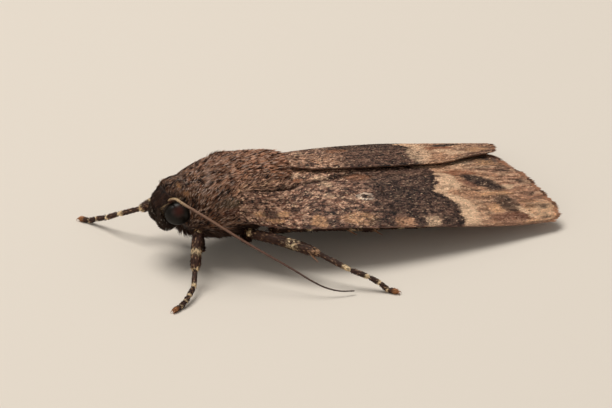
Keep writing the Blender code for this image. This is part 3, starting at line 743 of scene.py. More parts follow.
# ----------------------------------------
# Feelers: long threads of about a hundred short joints, red-brown, thick and dusted with cream scales at
# the base and thinning to a nearly bare dark tip. They sweep back and down beside the legs.
FEELER_LEFT = [(-4.42, 0.8, 4.95), (-4.5, 1.15, 5.33), (-4.4, 2.3, 5.82), (-3.5, 3.65, 5.35),
               (-0.6, 6.0, 3.4), (1.98, 8.15, 1.82), (3.0, 9.0, 1.15), (3.9, 9.5, 0.68), (4.8, 9.8, 0.42),
               (5.74, 9.93, 0.3)]
FEELER_RIGHT = [(-4.42, 0.8, 4.95), (-4.55, 1.0, 5.2), (-4.0, 1.75, 5.3), (-3.3, 2.75, 4.85),
                (-2.6, 3.5, 4.45), (-1.4, 4.6, 3.9), (-0.2, 5.9, 3.2), (1.98, 8.15, 1.75),
                (3.0, 9.0, 1.1), (3.9, 9.6, 0.66), (4.7, 10.1, 0.42)]
FEELER_STATIONS = [(0.0, 0.17), (0.015, 0.19), (0.035, 0.11), (0.2, 0.1), (0.6, 0.075), (1.0, 0.045)]
FEELER_JOINTS, FEELER_SIDES = 96, 10
FEELER_BROWN, FEELER_DARK = (0.14, 0.058, 0.036), (0.04, 0.018, 0.013)
FEELER_TAN, FEELER_CREAM = (0.34, 0.2, 0.13), (0.62, 0.46, 0.26)


def feeler_colour(spot, chance, pick, along):
    """Dark below and to the tip, pale scales at the base, on the right feeler mostly painted out as
    shade.
    """
    tag, t, turn = spot.T
    upper = 0.5 + 0.5 * np.sin(2 * pi * turn)
    # the right feeler (tag 1) loses most of its pale scales as painted shade
    lit = fade(upper, 0.3, 0.7) * (1 - 0.85 * np.round(tag))
    return layered(
        mix(FEELER_BROWN, FEELER_DARK, 0.75 * fade(t, 0.5, 1.0) + 0.25 * chance + 0.5 * (1 - upper)),
        (FEELER_TAN, lit * (1 - fade(t, 0.25, 0.6)) * (0.45 + 0.4 * pick)),
        (FEELER_CREAM, lit * (1 - fade(t, 0.09, 0.2)) * (0.6 + 0.4 * pick)))


count = 4 * FEELER_JOINTS + 1
t = np.linspace(0, 1, count)
girth = curve(FEELER_STATIONS)(t) * (1 + 0.09 * np.abs(np.sin(pi * FEELER_JOINTS * t)) - 0.05)
feelers, spots, headings = joined_tubes("feelers", [
    tube(smooth_route(route, count) * (1, side, 1), girth, FEELER_SIDES)
    for route, side in ((FEELER_LEFT, -1), (FEELER_RIGHT, 1))], (0, 1))
ground = limb_ground(feelers, spots, headings, strips=2, length=0.13, width=0.04,
                     cover=0.25 + 0.75 * (1 - fade(spots[:, 1], 0.2, 0.6)))
scale = blade_piece("scale_blade", outline=[(0, 0, 0), (-0.5, 0.68, 0.02), (0, 1, 0), (0.5, 0.68, 0.02)],
                    keel=(0, 0.5, -0.03))
scale_finish = tinted_material("wing_scales", roughness=0.55, grain=0.06, bump=0, specular=0.2,
                               shade=0.15)
grow_coat("feeler_scales", ground, scale, scale_finish, feeler_colour,
          spacing=0.045, seed=51, turn=0.15, lift=0.06)
halves = np.full(len(spots), 0.5)
feelers = painted_piece(feelers, feeler_colour(spots, halves, halves, 0),
                        tinted_material("feeler", roughness=0.45, grain=0.08, bump=0.3))
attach(feelers, "root")
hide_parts("antenna_left", "antenna_right")

# ----------------------------------------
# Forewings: stiff thin membranes closed in a low roof, the right one over the left near the mid-line,
# each with a fold that runs in from its base. They are tiled with tiny scales that carry the pattern, and
# the outer margin has a fringe of long ones.

# Roof stations: (x, ridge height, half span, height of the edge, steepness of the fall to it).
ROOF = [(-0.9, 7.05, 2.9, 4.6, 4.4), (0.3, 6.9, 4.0, 3.85, 4.2), (2.5, 6.4, 5.0, 3.45, 2.5),
        (4.6, 5.95, 5.75, 3.38, 1.75), (6.3, 5.72, 6.2, 3.3, 1.7), (10.0, 5.2, 6.75, 2.85, 1.8),
        (13.7, 4.6, 7.0, 2.3, 1.8), (18.0, 3.86, 7.1, 1.48, 1.75), (21.6, 3.2, 7.0, 0.96, 1.75),
        (23.7, 2.9, 6.9, 0.8, 1.75)]
DROOP = [(18.0, 0.0), (21.0, 0.14), (23.5, 0.4)]  # how much lower the right wing's edge hangs
FORE_INNER = [(-0.7, 2.8), (0.6, 2.6), (2.5, 1.8), (3.8, 0.7), (4.6, -0.3), (5.8, -0.85), (7.5, -1.1),
              (10.0, -1.2), (16.0, -1.0), (19.6, -0.7), (20.4, -0.57)]
FORE_OUTER = [(-0.57, 21.2), (-0.2, 21.5), (0.3, 21.7), (0.8, 21.87), (1.8, 22.2), (3.5, 22.67),
              (4.8, 23.15), (5.7, 23.48), (6.2, 23.45), (6.6, 23.15), (6.95, 22.5)]
# Where the inner margin, the costa, the outer margin and its chord start, and how far each runs.
FORE_RUNS = ((-0.7, 21.1), (-0.9, 23.4), (-0.57, 7.52), (20.4, 2.1))
FORE_LENGTH, FORE_WIDTH = 23.4, 7.5  # rough sizes that turn u and v into millimetres
MEMBRANE, SCALE_DEPTH = 0.1, 0.09  # thickness; depth of the scales on it
# How far the left wing sinks under the right one: all the way up to the first q, and not from the second.
UNDER_DEPTH, UNDER_FULL, UNDER_END = 0.36, 1.35, 2.6
ROOF_REACH = 1.1  # how far out the roof goes on falling, in half spans
FRINGE, INNER_SCALES, EDGE_SCALES = 0.45, 0.012, 0.985
FOLD = [(0.05, 0.32), (0.106, 0.34), (0.147, 0.355), (0.188, 0.39), (0.235, 0.436), (0.275, 0.445),
        (0.355, 0.412), (0.4, 0.372), (0.443, 0.333), (0.505, 0.285), (0.58, 0.21)]
FOLD_DEPTH, FOLD_WIDTH = 0.2, 0.026
SWELL, SWELL_SIZE = 0.05, (3.0, 1.2)
CORNER_RETREAT, CORNER_REACH = 1.2, 1.2  # the right wing's corner draws back over the left's
SCALLOPS = [(0, 0), (0.115, 0.5), (0.343, 1.5), (0.525, 2.5), (0.682, 3.5), (0.83, 4.5), (0.95, 5.5),
            (1, 6)]
SCALLOP_DEPTH = 0.12
ALONG, ACROSS = 200, 90  # cells of a membrane

ridge_at, span_at, edge_at, fall_at = (curve(ROOF, k) for k in (1, 2, 3, 4))
droop_at, inner_at, outer_at, fold_at = curve(DROOP), curve(FORE_INNER), curve(FORE_OUTER), curve(FOLD)
scallops_at = curve(SCALLOPS)
costa_at = curve([(x, span) for x, _, span, _, _ in ROOF if x < 21] + [(21.6, 7.0), (22.5, 6.95)])


def roof(x, y):
    """Height of the closed wings' upper surface."""
    out = np.minimum(np.abs(y) / span_at(x), ROOF_REACH)
    edge = edge_at(x) - np.where(y > 0, droop_at(x), 0.0)
    return ridge_at(x) - (ridge_at(x) - edge) * out ** fall_at(x)


def under_roof(x, y, depth):
    """The points that lie the given depth below the roof, square to it."""
    step = 0.02
    slope_x = (roof(x + step, y) - roof(x - step, y)) / (2 * step)
    slope_y = (roof(x, y + step) - roof(x, y - step)) / (2 * step)
    normal = np.stack([-slope_x, -slope_y, np.ones_like(x)], -1)
    normal /= np.linalg.norm(normal, axis=-1, keepdims=True)
    return np.stack([x, y, roof(x, y)], -1) - normal * np.asarray(depth)[..., None]


def scallop_wave(v):
    """1 where two scallops of the outer margin meet, -1 at the tip of a scallop."""
    return np.cos(2 * pi * scallops_at(v))


def wing_plan(u, v, runs, edges):
    """Place (x, q) of a point u of the way from base to outer margin and v from inner margin to costa."""
    inner, costa, rim, chord = (start + length * way for (start, length), way in zip(runs, (u, u, v, v)))
    inner_edge, costa_edge, outer_edge = edges
    x, q = inner + (costa - inner) * v, inner_edge(inner) + (costa_edge(costa) - inner_edge(inner)) * v
    return x + (outer_edge(rim) - chord) * u**3, q


def forewing_points(u, v, side, depth):
    """Points of a forewing the given depth below its scales' tips."""
    x, q = wing_plan(u * (1 - FRINGE / FORE_LENGTH), INNER_SCALES + (EDGE_SCALES - INNER_SCALES) * v,
                     FORE_RUNS, (inner_at, costa_at, outer_at))
    x = x - SCALLOP_DEPTH * scallop_wave(v) * fade(u, 0.9, 1.0)
    q = q + (CORNER_RETREAT if side > 0 else -CORNER_REACH) * fade(u, 0.78, 1.03) * (1 - v) ** 3
    fold = bell(v - fold_at(u), FOLD_WIDTH) * fade(u, 0.03, 0.1) * fall(u, 0.44, 0.5)
    swell = SWELL * (blotches(np.stack([x, q], -1), SWELL_SIZE, 61) - 0.5)
    sink = UNDER_DEPTH * fall(q, UNDER_FULL, UNDER_END) if side < 0 else 0.0
    return under_roof(x, q * side, depth + FOLD_DEPTH * fold + swell + sink)


def grid_cells(shape):
    """The numbers of the points of a grid, and its cells by their corners."""
    index = np.arange(shape[0] * shape[1]).reshape(shape[:2])
    cells = np.stack([index[:-1, :-1], index[1:, :-1], index[1:, 1:], index[:-1, 1:]], -1)
    return index, cells.reshape(-1, 4)


def sheet_mesh(name, top, bottom):
    """Closed sheet between two grids of points."""
    index, upper = grid_cells(top.shape)
    rim = np.concatenate([index[:-1, 0], index[-1, :-1], index[:0:-1, -1], index[0, :0:-1]])
    after = np.roll(rim, -1)
    wall = np.stack([after, rim, rim + index.size, after + index.size], -1)
    points = np.concatenate([top.reshape(-1, 3), bottom.reshape(-1, 3)])
    faces = np.concatenate([upper, upper[:, ::-1] + index.size, wall])
    mesh = closed_mesh(name, points.tolist(), faces.tolist())
    mesh.shade_smooth()
    return mesh


def spots_of(u, v, side):
    """Each point of a wing's grid as (u, v, side)."""
    return np.stack([u, v, 0 * u + side], -1).reshape(-1, 3)


def wing_ground(grid, u, v, side, length, width, cover=1.0, turned=False):
    """An open grid for scales to grow on, in its own half of the unwrap; turned faces it down."""
    faces = grid_cells(u.shape)[1]
    if (side > 0) == turned:
        faces = faces[:, ::-1]
    mesh = bpy.data.meshes.new("ground")
    mesh.from_pydata(grid.reshape(-1, 3).tolist(), [], faces.tolist())
    lie = np.gradient(grid, axis=0)
    lie /= np.linalg.norm(lie, axis=-1, keepdims=True)
    half = 0.5 if turned else 0.0
    home = np.stack([0.01 + 0.98 * u, half + 0.01 + 0.48 * v, 0 * u], -1).reshape(-1, 3)
    length, cover = (np.broadcast_to(values, u.shape).ravel() for values in (length, cover))
    return make_ground(mesh, spots_of(u, v, side), home, lie, length, width, cover)


# Colours of the pattern, and its marks: centre (u, v), reach, colour and strength.
GROUND, GROUND_DARK, STRIP = (0.26, 0.12, 0.072), (0.075, 0.034, 0.023), (0.44, 0.23, 0.135)
MEDIAN, BLACK, MAUVE = (0.042, 0.02, 0.016), (0.014, 0.008, 0.007), (0.27, 0.145, 0.105)
CREAM, TAN, ORANGE = (0.86, 0.59, 0.38), (0.55, 0.29, 0.16), (0.42, 0.17, 0.075)
MARGIN, RUST, OCHRE = (0.4, 0.195, 0.112), (0.17, 0.06, 0.038), (0.74, 0.41, 0.205)
WHITE, RUSSET = (0.92, 0.74, 0.58), (0.3, 0.11, 0.05)
OUTER_MARKS = [
    ((0.812, 0.37), (0.06, 0.07), RUSSET, 0.95), ((0.758, 0.5), (0.022, 0.12), CREAM, 0.9),
    ((0.74, 0.82), (0.026, 0.12), CREAM, 0.7), ((0.823, 0.53), (0.035, 0.05), RUST, 0.85),
    ((0.797, 0.622), (0.035, 0.009), BLACK, 0.75), ((0.864, 0.665), (0.055, 0.024), OCHRE, 0.7),
    ((0.878, 0.775), (0.034, 0.095), BLACK, 0.95), ((0.823, 0.753), (0.034, 0.009), BLACK, 0.75),
    ((0.827, 0.83), (0.024, 0.05), OCHRE, 0.7), ((0.864, 0.925), (0.065, 0.06), RUST, 0.75),
    ((0.921, 0.585), (0.02, 0.03), CREAM, 0.9), ((0.972, 0.88), (0.03, 0.09), CREAM, 0.4)]
HIDDEN_MARKS = [
    ((0.735, 0.22), (0.04, 0.22), CREAM, 0.75), ((0.817, 0.27), (0.028, 0.06), CREAM, 0.7),
    ((0.864, 0.17), (0.035, 0.06), CREAM, 0.7), ((0.95, 0.24), (0.04, 0.12), OCHRE, 0.6)]
INNER_MARKS = [
    ((0.077, 0.84), (0.02, 0.045), OCHRE, 0.85), ((0.15, 0.8), (0.022, 0.045), OCHRE, 0.85),
    ((0.12, 0.905), (0.028, 0.035), OCHRE, 0.85), ((0.112, 0.815), (0.026, 0.075), BLACK, 1.0),
    ((0.252, 0.93), (0.024, 0.07), OCHRE, 1.0), ((0.38, 0.92), (0.055, 0.065), OCHRE, 0.7),
    ((0.262, 0.26), (0.018, 0.04), CREAM, 0.7), ((0.25, 0.36), (0.024, 0.04), ORANGE, 0.9),
    ((0.338, 0.375), (0.028, 0.04), CREAM, 0.95), ((0.395, 0.355), (0.024, 0.045), BLACK, 0.95),
    ((0.335, 0.5), (0.016, 0.045), CREAM, 0.85), ((0.32, 0.65), (0.018, 0.035), CREAM, 0.7),
    ((0.357, 0.665), (0.016, 0.03), BLACK, 0.85), ((0.46, 0.41), (0.045, 0.065), ORANGE, 0.6)]
COSTA_BARS = [  # start and end along the costa, colour and strength
    (0.275, 0.315, BLACK, 0.8), (0.405, 0.48, BLACK, 0.7), (0.495, 0.548, TAN, 0.85),
    (0.552, 0.58, BLACK, 0.9), (0.585, 0.637, CREAM, 0.9), (0.642, 0.71, BLACK, 0.8),
    (0.71, 0.77, CREAM, 0.4)]
POSTMEDIAL = [(0.2, 0.745), (0.343, 0.734), (0.5, 0.709), (0.552, 0.703), (0.6, 0.683), (0.65, 0.676),
              (0.69, 0.701), (0.728, 0.712), (0.768, 0.721), (0.85, 0.719), (0.93, 0.713), (1.0, 0.709)]
postmedial_at = curve(POSTMEDIAL)


def patch(u, v, centre, reach, edge=0.35):
    """1 within an oval of the given reach, fading over the given share of it."""
    away = np.hypot((u - centre[0]) / reach[0], (v - centre[1]) / reach[1])
    return 1 - fade(away, 1 - edge, 1 + edge)


def dab(colours, marks, u, v, fine):
    """Lays oval marks over the colours: each has a centre, a reach, a colour and a strength."""
    for centre, reach, tone, share in marks:
        colours = mix(colours, tone, patch(u, v, centre, reach, 0.25) * share * (0.65 + 0.35 * fine))
    return colours


def forewing_colour(spot, chance, pick, along):
    """Colour of the scale rooted at a spot (u, v, side) of a forewing."""
    u, v, side = spot.T
    grid = np.stack([u * FORE_LENGTH, v * FORE_WIDTH + 20 * side], -1)
    streak, lines = blotches(grid, (0.9, 0.15), 11) - 0.5, blotches(grid, (1.3, 0.13), 33)
    cloud, fine = blotches(grid, (1.3, 0.6), 13), blotches(grid, (0.4, 0.2), 14)
    u1, v1 = u + 0.03 * streak, v + 0.02 * (blotches(grid, (0.6, 0.4), 12) - 0.5)
    edge = postmedial_at(v) + 0.004 * np.sin(2 * pi * v * 12)
    middle = fade(u1, 0.4, 0.49) * fade(edge - u1, 0.0, 0.006)
    outer = fade(u1 - edge, -0.002, 0.004)
    above_fold = fade(fold_at(u) - v, 0.0, 0.04) * fall(u, 0.4, 0.46)
    near = fall(v, 0.21 + 0.12 * (side > 0), 0.27 + 0.18 * (side > 0))

    # the brown inner third, the dark middle one, and the outer one with its tan field and brown margin
    deep = 0.75 + 0.25 * patch(u, v, (0.6, 0.62), (0.16, 0.22), 0.6)
    colours = layered(
        mix(GROUND_DARK, GROUND, 0.25 + 0.75 * cloud),
        (GROUND_DARK, fall(u, 0.04, 0.14) * 0.4),
        (STRIP, above_fold * 0.7),
        (TAN, near * fall(u, 0.4, 0.5) * 0.65),
        (GROUND_DARK, fade(0.05 - v, -0.02, 0.05) * 0.7 * fall(u, 0.7, 0.9)),
        (MEDIAN, middle * deep * (1 - 0.3 * near)),
        (TAN, outer * 0.95),
        (MARGIN, fade(u1, 0.898, 0.913) * fall(v, 0.72, 0.85) * 0.85),
        (OCHRE, fade(u1, 0.9, 0.93) * fade(v, 0.72, 0.85) * 0.7),
        (GROUND_DARK, fade(0.36 - v, -0.05, 0.1) * fade(u1, 0.84, 0.9) * 0.6),
        (GROUND_DARK, (1 - fade(lines, 0.3, 0.42)) * outer * 0.5),
        (CREAM, fade(lines, 0.6, 0.7) * outer * 0.4))
    bar = fade(u1, 0.455, 0.49) * fade(edge - u1, 0.0, 0.006) * bell(v1 - 0.64, 0.055)
    pale = 0.82 - 0.66 * middle - 0.55 * outer - 0.14 * bar
    colours = flecked(colours, grid, (0.34, 0.13), (0.95 - 0.5 * outer) * (1.2 - 0.5 * cloud),
                      pale * (0.7 + 0.6 * cloud), 31)

    # the black bar and the cream comb beyond the dark third, and the marks of the outer half
    line = bell(u1 - edge + 0.012, 0.011) * fade(v, 0.3, 0.42)
    comb = outer * fade(edge + 0.04 + 0.06 * streak - u1, -0.006, 0.006) * fade(v, 0.32, 0.4)
    colours = layered(colours, (BLACK, bar * 0.92), (BLACK, line * 0.8),
                      (CREAM, comb * (0.55 + 0.4 * fade(lines, 0.35, 0.6))))
    u1 = u + 0.015 * streak
    colours = dab(colours, OUTER_MARKS, u1, v1, fine)
    colours = mix(colours, dab(colours, HIDDEN_MARKS, u1, v1, fine), near)
    dark_slant, pale_slant = u1 - 0.33 * (v1 - 0.53), u1 - 0.36 * (v1 - 0.88)
    on_tip = 0.5 - 0.5 * scallop_wave(v)
    colours = layered(
        colours,
        (BLACK, patch(dark_slant, v1, (0.858, 0.525), (0.04, 0.11), 0.25) * 0.95),
        (CREAM, patch(pale_slant, v1, (0.919, 0.88), (0.011, 0.07), 0.3) * 0.85),
        (BLACK, bell(u1 - 0.972, 0.014) * fade(on_tip, 0.55, 0.95) * 0.85))

    # spots of the inner half, the kidney mark, the fold's painted black shade and the barred costa
    ring = np.abs(np.hypot((u - 0.438) / 0.024, (v - 0.68) / 0.03) - 1)
    # the fold is a groove, and its black is painted shade in it
    fold = bell(v - fold_at(u) + 0.012, FOLD_WIDTH) * fade(u, 0.05, 0.09) * fall(u, 0.42, 0.5)
    colours = layered(
        dab(colours, INNER_MARKS, u1, v1, fine),
        (WHITE, (1 - fade(ring, 0.18, 0.45)) * fade(0.447 - u, -0.02, 0.0) * 0.95),
        (BLACK, patch(u, v, (0.441, 0.68), (0.013, 0.014)) * 0.85),
        (BLACK, fold * 0.92))
    for start, end, tone, share in COSTA_BARS:
        bar = fade(u1, start - 0.004, start + 0.004) * fade(-u1, -end - 0.004, -end + 0.004)
        colours = mix(colours, tone, bar * fade(v, 0.89, 0.935) * share)
    colours = mix(colours, GROUND_DARK, fade(v, 0.975, 1.0) * 0.6)
    colours = flecked(colours, grid, (0.2, 0.08), 0.45 - 0.2 * outer, 0.12, 37)

    # each scale's own shade, with lone pale, rusty and dark scales everywhere
    inner = 1 - 0.8 * outer - 0.5 * middle
    colours = layered(
        colours,
        (CREAM, (pick > 0.94) * (0.15 + 0.55 * chance) * (1 - 0.5 * np.maximum(middle, outer))),
        (MAUVE, (np.abs(pick - 0.84) < 0.07) * 0.5 * inner),
        (RUST, (np.abs(pick - 0.7) < 0.05) * 0.5 * inner),
        (BLACK, (pick < 0.16) * (0.3 + 0.5 * chance) * (1 - 0.85 * outer)))
    return colours * (0.72 + 0.5 * chance + 0.12 * along)[:, None]


def fringe_colour(spot, chance, pick, along):
    """Fringe scales: brown with paler ends, and dark at the tips of the scallops."""
    v = spot[:, 1]
    on_tip = 0.5 - 0.5 * scallop_wave(v)
    colours = mix(MARGIN, GROUND_DARK, fade(on_tip, 0.35, 0.8) * 0.85 + 0.35 * pick)
    colours = mix(colours, TAN, (pick > 0.8) * 0.5 + 0.3 * fade(v, 0.7, 0.9))
    return colours * (0.65 + 0.35 * chance + 0.25 * along)[:, None]


def unit_grid(rows, columns, start=0.0):
    """u and v of the points of a grid over a wing, from the given u to the outer margin."""
    return np.meshgrid(np.linspace(start, 1, rows), np.linspace(0, 1, columns), indexing="ij")


membrane_finish = tinted_material("wing_membrane", roughness=0.6, grain=0.12, bump=0.4, shade=0.3)
for name, side in SIDES:
    u, v = unit_grid(ALONG + 1, ACROSS + 1)
    top, bottom = (forewing_points(u, v, side, depth) for depth in (SCALE_DEPTH, SCALE_DEPTH + MEMBRANE))
    mesh = sheet_mesh(f"forewing_{name}_membrane", top, bottom)
    half = np.full(u.size, 0.5)
    upper = forewing_colour(spots_of(u, v, side), half * 0.5, half, 0 * half)
    tints = np.concatenate([upper * 0.6, mix(upper * 0 + GROUND, upper, 0.35)])
    piece = painted_piece(mesh, tints, membrane_finish)
    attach(piece, "root")
    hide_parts(f"forewing_{name}")

    # scales in two halves, few where the right wing hides the left; long hair on the base above the fold
    covered = 1 - (fall(v, 0.2, 0.24) * fade(u, 0.25, 0.32) * 0.9 if side < 0 else 0 * v)
    for part, share in (("inner", 1 - fade(u, 0.499, 0.501)), ("outer", fade(u, 0.499, 0.501))):
        ground = wing_ground(top, u, v, side, length=0.27 - 0.03 * u, width=0.105, cover=covered * share)
        grow_coat(f"forewing_{name}_scales_{part}", ground, scale, scale_finish, forewing_colour,
                  spacing=0.05, seed=70 + side, turn=0.22, lift=0.1)
    hairy = fade(fold_at(u) - v, 0.01, 0.06) * fall(u, 0.19, 0.25)
    ground = wing_ground(top, u, v, side, length=0.45, width=0.07, cover=hairy)
    grow_coat(f"forewing_{name}_base_hair", ground, hair, hair_finish, forewing_colour,
              spacing=0.055, seed=78 + side, turn=0.35, lift=0.22)

    # the fringe is rooted in a narrow strip along the outer margin
    u, v = unit_grid(6, 400, start=0.983)
    ground = wing_ground(forewing_points(u, v, side, SCALE_DEPTH + 0.03), u, v, side,
                         length=0.62 + 0.06 * scallop_wave(v), width=0.1)
    grow_coat(f"forewing_{name}_fringe", ground, scale, scale_finish, fringe_colour,
              spacing=0.036, seed=74 + side, turn=0.12, lift=0.02)

# ----------------------------------------
# Hindwings: thinner membranes folded away under the forewings, coppery orange with a brown front and a
# pale fringe, ribbed by their folds.
HIND_EDGES = [[(2.6, 0.35), (16.6, 0.35)],  # inner margin
              [(2.6, 3.6), (6.0, 5.2), (11.0, 5.9), (15.0, 5.7), (16.8, 5.1)],  # costa
              [(0.35, 16.6), (1.5, 17.9), (3.0, 18.4), (4.4, 17.9), (5.1, 16.8)]]  # outer margin
HIND_RUNS = ((2.6, 14.0), (2.6, 14.2), (0.35, 4.75), (16.6, 0.2))  # as for the forewings
HIND_FRINGE, HIND_DEPTH, HIND_MEMBRANE = 0.975, 0.82, 0.08  # root of the fringe; depth; thickness
HIND_PLEATS, HIND_PLEAT_DEPTH = 9, 0.09
COPPER, HIND_BROWN = (0.52, 0.205, 0.07), (0.16, 0.08, 0.05)
hind_edges = [curve(stations) for stations in HIND_EDGES]


def hindwing_points(u, v, side, depth):
    """Points of a hindwing the given depth below its upper face, which sinks towards the mid-line."""
    x, q = wing_plan(u * HIND_FRINGE, v, HIND_RUNS, hind_edges)
    pleat = HIND_PLEAT_DEPTH * np.cos(2 * pi * HIND_PLEATS * v) * fade(u, 0.0, 0.4)
    layer = HIND_DEPTH + 0.6 * fall(q, 1.85, 3.1)
    return under_roof(x, q * side, layer + depth + pleat)


def hindwing_colour(spot, chance, pick, along):
    """Copper with a brown front and outer margin."""
    u, v, _ = spot.T
    brown = np.maximum(fade(v, 0.68, 0.85), fade(u, 0.86, 0.95) * 0.7)
    return mix(COPPER, HIND_BROWN, brown + 0.25 * pick) * (0.75 + 0.4 * chance + 0.1 * along)[:, None]


for name, side in SIDES:
    u, v = unit_grid(101, 121)
    top, bottom = hindwing_points(u, v, side, 0.0), hindwing_points(u, v, side, HIND_MEMBRANE)
    mesh = sheet_mesh(f"hindwing_{name}_membrane", top, bottom)
    plain = np.full(u.size, 0.4)
    tint = hindwing_colour(spots_of(u, v, side), plain, plain, 0)
    piece = painted_piece(mesh, np.concatenate([tint, tint]) * 0.8, membrane_finish)
    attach(piece, "root")
    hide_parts(f"hindwing_{name}")
    length = 0.34 + 0.25 * fade(u, 0.97, 1.0)
    ground = wing_ground(bottom, u, v, side, length, width=0.13, turned=True)
    grow_coat(f"hindwing_{name}_scales", ground, scale, scale_finish, hindwing_colour,
              spacing=0.088, seed=80 + side, turn=0.2, lift=0.08)

# ----------------------------------------
# Legs: thigh, shin and a foot of five joints, dark brown with cream rings, clothed in close flat scales.
# The middle and hind shins carry pairs of movable spurs, and each foot ends in two hooked brown claws.

# Hip, knee and ankle, then the ends of the five joints of the foot, all as (x, q, height).
LEGS = {
    "foreleg_left": [(-2.6, 1.7, 1.35), (-3.35, 3.3, 3.5), (-4.07, 4.6, 1.58), (-4.66, 5.8, 0.78),
                     (-5.3, 6.5, 0.54), (-5.7, 6.88, 0.4), (-6.15, 7.13, 0.22), (-6.75, 7.45, 0.2)],
    "foreleg_right": [(-2.6, 1.7, 1.35), (-3.3, 3.35, 3.0), (-4.8, 3.5, 2.55), (-6.13, 5.0, 1.6),
                      (-6.7, 6.0, 0.95), (-7.16, 6.8, 0.56), (-7.52, 7.33, 0.22), (-8.0, 7.93, 0.2)],
    "midleg_left": [(1.0, 1.6, 1.4), (0.49, 3.7, 2.9), (4.02, 7.0, 2.29), (5.86, 8.8, 1.41),
                    (6.94, 9.6, 1.01), (7.57, 10.1, 0.66), (8.0, 10.5, 0.22), (8.52, 11.0, 0.2)],
    "midleg_right": [(1.0, 1.6, 1.4), (0.45, 3.7, 2.9), (3.6, 7.1, 2.1), (5.2, 9.0, 1.25),
                     (6.1, 9.9, 0.85), (6.7, 10.35, 0.55), (7.15, 10.65, 0.22), (7.7, 11.02, 0.2)],
    "hindleg_left": [(2.9, 1.4, 1.6), (5.2, 3.35, 2.3), (10.4, 2.95, 1.0), (12.6, 2.95, 0.6),
                     (13.9, 3.0, 0.42), (15.0, 3.05, 0.32), (15.9, 3.1, 0.22), (16.8, 3.15, 0.2)],
    "hindleg_right": [(2.9, 1.4, 1.6), (5.2, 3.35, 2.3), (10.6, 3.1, 1.0), (12.8, 3.3, 0.6),
                      (14.1, 3.45, 0.42), (15.2, 3.6, 0.32), (16.1, 3.7, 0.22), (17.0, 3.85, 0.2)],
}
THIGH = [(0, 0.24), (0.3, 0.33), (0.8, 0.32), (1, 0.24)]
SHIN = [(0, 0.22), (0.25, 0.29), (0.8, 0.3), (1, 0.25)]
FOOT_JOINT = [(0, 0.1), (0.15, 0.14), (0.8, 0.17), (1, 0.14)]
PARTS_PER_LEG = 8  # places kept for a leg in the count of parts, of which it fills seven
LEG_DARK, LEG_BROWN, LEG_CREAM = (0.03, 0.015, 0.011), (0.085, 0.04, 0.026), (0.86, 0.66, 0.4)
LEG_ORANGE, LEG_TAN, CLAW_BROWN = (0.45, 0.19, 0.075), (0.46, 0.27, 0.155), (0.28, 0.1, 0.04)
SPURS = {"midleg": (0.93,), "hindleg": (0.55, 0.95), "foreleg": ()}  # how far along the shin
SPUR_LENGTH, SHORT_SPUR, SPUR_THICK, SPUR_TIP = 0.95, 0.75, 0.075, 0.02
SPUR_DROP, SPUR_SPREAD = 0.15, 0.12  # of a spur's root from the middle of the shin
SPUR_ALONG, SPUR_OUT, SPUR_DOWN = 0.75, 0.28, 0.35  # where a spur points
CLAW_LENGTH, CLAW_HEIGHT, CLAW_THICK, CLAW_TIP = 0.26, 0.17, 0.05, 0.014
CLAW_SPREAD, CLAW_ARCH, CLAW_HOOK = 0.15, 0.06, 0.14
LEG_SIDES, LEG_BOW = 12, 0.1


def leg_colour(spot, chance, pick, along):
    """Rings and patches by leg part; the tag counts the parts, the left legs' before the right ones'."""
    tag, t, _ = spot.T
    part = np.round(tag) % PARTS_PER_LEG
    front = np.round(tag) // PARTS_PER_LEG % 3 == 0
    t = t + 0.1 * (chance - 0.5)
    thigh, shin, foot = part == 0, part == 1, part >= 2
    middle = bell(t - 0.5, 0.06) * front + bell(t - 0.6, 0.07) * (pick > 0.45) * ~front
    colours = layered(
        mix(LEG_DARK, LEG_BROWN, 0.2 + 0.8 * pick),
        (LEG_TAN, (pick > 0.9) * 0.6),
        (LEG_CREAM, thigh * fade(t, 0.86, 0.94) * (~front | (pick > 0.6)) * 0.95),
        (LEG_CREAM, shin * middle * 0.85),
        (LEG_CREAM, shin * front * fade(t, 0.9, 0.97)),
        (LEG_TAN, shin * ~front * fade(t, 0.88, 0.95) * (pick > 0.3) * 0.95),
        (LEG_CREAM, foot * (part < 6) * fade(t, 0.74, 0.84) * 0.95),
        (LEG_ORANGE, (part == 6) * fade(t, 0.3, 0.7) * 0.9))
    return colours * (0.7 + 0.35 * chance + 0.2 * along)[:, None]


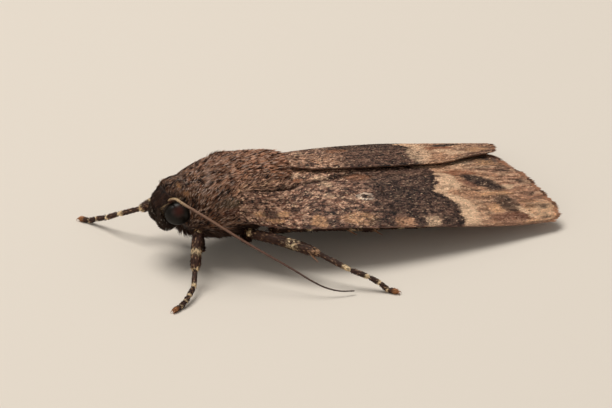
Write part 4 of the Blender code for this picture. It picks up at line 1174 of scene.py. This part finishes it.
tubes, tags, horns = [], [], []
for number, (leg, joints) in enumerate(LEGS.items()):
    side = -1 if leg.endswith("left") else 1
    points = np.array(joints, float) * (1, side, 1)
    first_tag = (number // 2 + (0 if side < 0 else 3)) * PARTS_PER_LEG
    for part, (start, end) in enumerate(zip(points, points[1:])):
        shape = (THIGH, SHIN, FOOT_JOINT)[min(part, 2)]
        steps = np.linspace(0, 1, 18 if part < 2 else 9)
        route = start + (end - start) * steps[:, None]
        route[:, 2] += (LEG_BOW if part < 2 else 0) * np.sin(pi * steps)
        tubes.append(tube(route, curve(shape)(steps), LEG_SIDES))
        tags.append(first_tag + part)
    knee, ankle, tip = points[1], points[2], points[-1]
    shin_way = (ankle - knee) / np.linalg.norm(ankle - knee)
    sideways = np.cross(shin_way, (0, 0, 1))
    sideways /= np.linalg.norm(sideways)
    for share in SPURS[leg.split("_")[0]]:
        for spread in (-1, 1):
            root = knee + (ankle - knee) * share + (0, 0, -SPUR_DROP) + sideways * SPUR_SPREAD * spread
            way = shin_way * SPUR_ALONG + sideways * SPUR_OUT * spread + np.array([0, 0, -SPUR_DOWN])
            steps = np.linspace(0, 1, 8)[:, None]
            route = root + way * steps * SPUR_LENGTH * (1 if spread > 0 else SHORT_SPUR)
            route[:, 2] = np.maximum(route[:, 2], 0.08)
            horns.append(tube(route, np.linspace(SPUR_THICK, SPUR_TIP, 8), sides=8))
    foot_way = tip - points[-2]
    foot_way = foot_way / np.linalg.norm(foot_way)
    sideways = np.cross(foot_way, (0, 0, 1))
    for spread in (-1, 1):
        steps = np.linspace(0, 1, 7)[:, None]
        route = tip + foot_way * CLAW_LENGTH * np.sin(steps * 1.7)
        route += sideways * spread * CLAW_SPREAD * np.sqrt(steps)
        route[:, 2] = CLAW_HEIGHT + CLAW_ARCH * np.sin(pi * steps[:, 0]) - CLAW_HOOK * steps[:, 0] ** 2
        horns.append(tube(route, np.linspace(CLAW_THICK, CLAW_TIP, 7), sides=7))

legs, spots, headings = joined_tubes("legs", tubes, tags)
on_foot = spots[:, 0] % PARTS_PER_LEG >= 2
ground = limb_ground(legs, spots, headings, strips=len(LEGS) * PARTS_PER_LEG,
                     length=np.where(on_foot, 0.2, 0.34), width=np.where(on_foot, 0.075, 0.095),
                     stand=np.where(on_foot, 0.05, 0.14))
grow_coat("leg_scales", ground, scale, scale_finish, leg_colour,
          spacing=0.055, seed=91, turn=0.2, lift=0.12)
plain = np.ones(len(spots))
legs = painted_piece(legs, leg_colour(spots, 0.5 * plain, 0.3 * plain, 0) * 0.8, skin_finish)
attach(legs, "root")
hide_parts(*[f"{leg}_{part}" for leg in LEGS for part in ("femur", "tibia", "tarsus")])

claws, spots, _ = joined_tubes("claws_and_spurs", horns, [0] * len(horns))
claws = painted_piece(claws, mix(LEG_TAN, CLAW_BROWN, 0.3 + 0.6 * spots[:, 1]),
                      tinted_material("claw_horn", roughness=0.35, grain=0.06, bump=0.2))
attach(claws, "root")
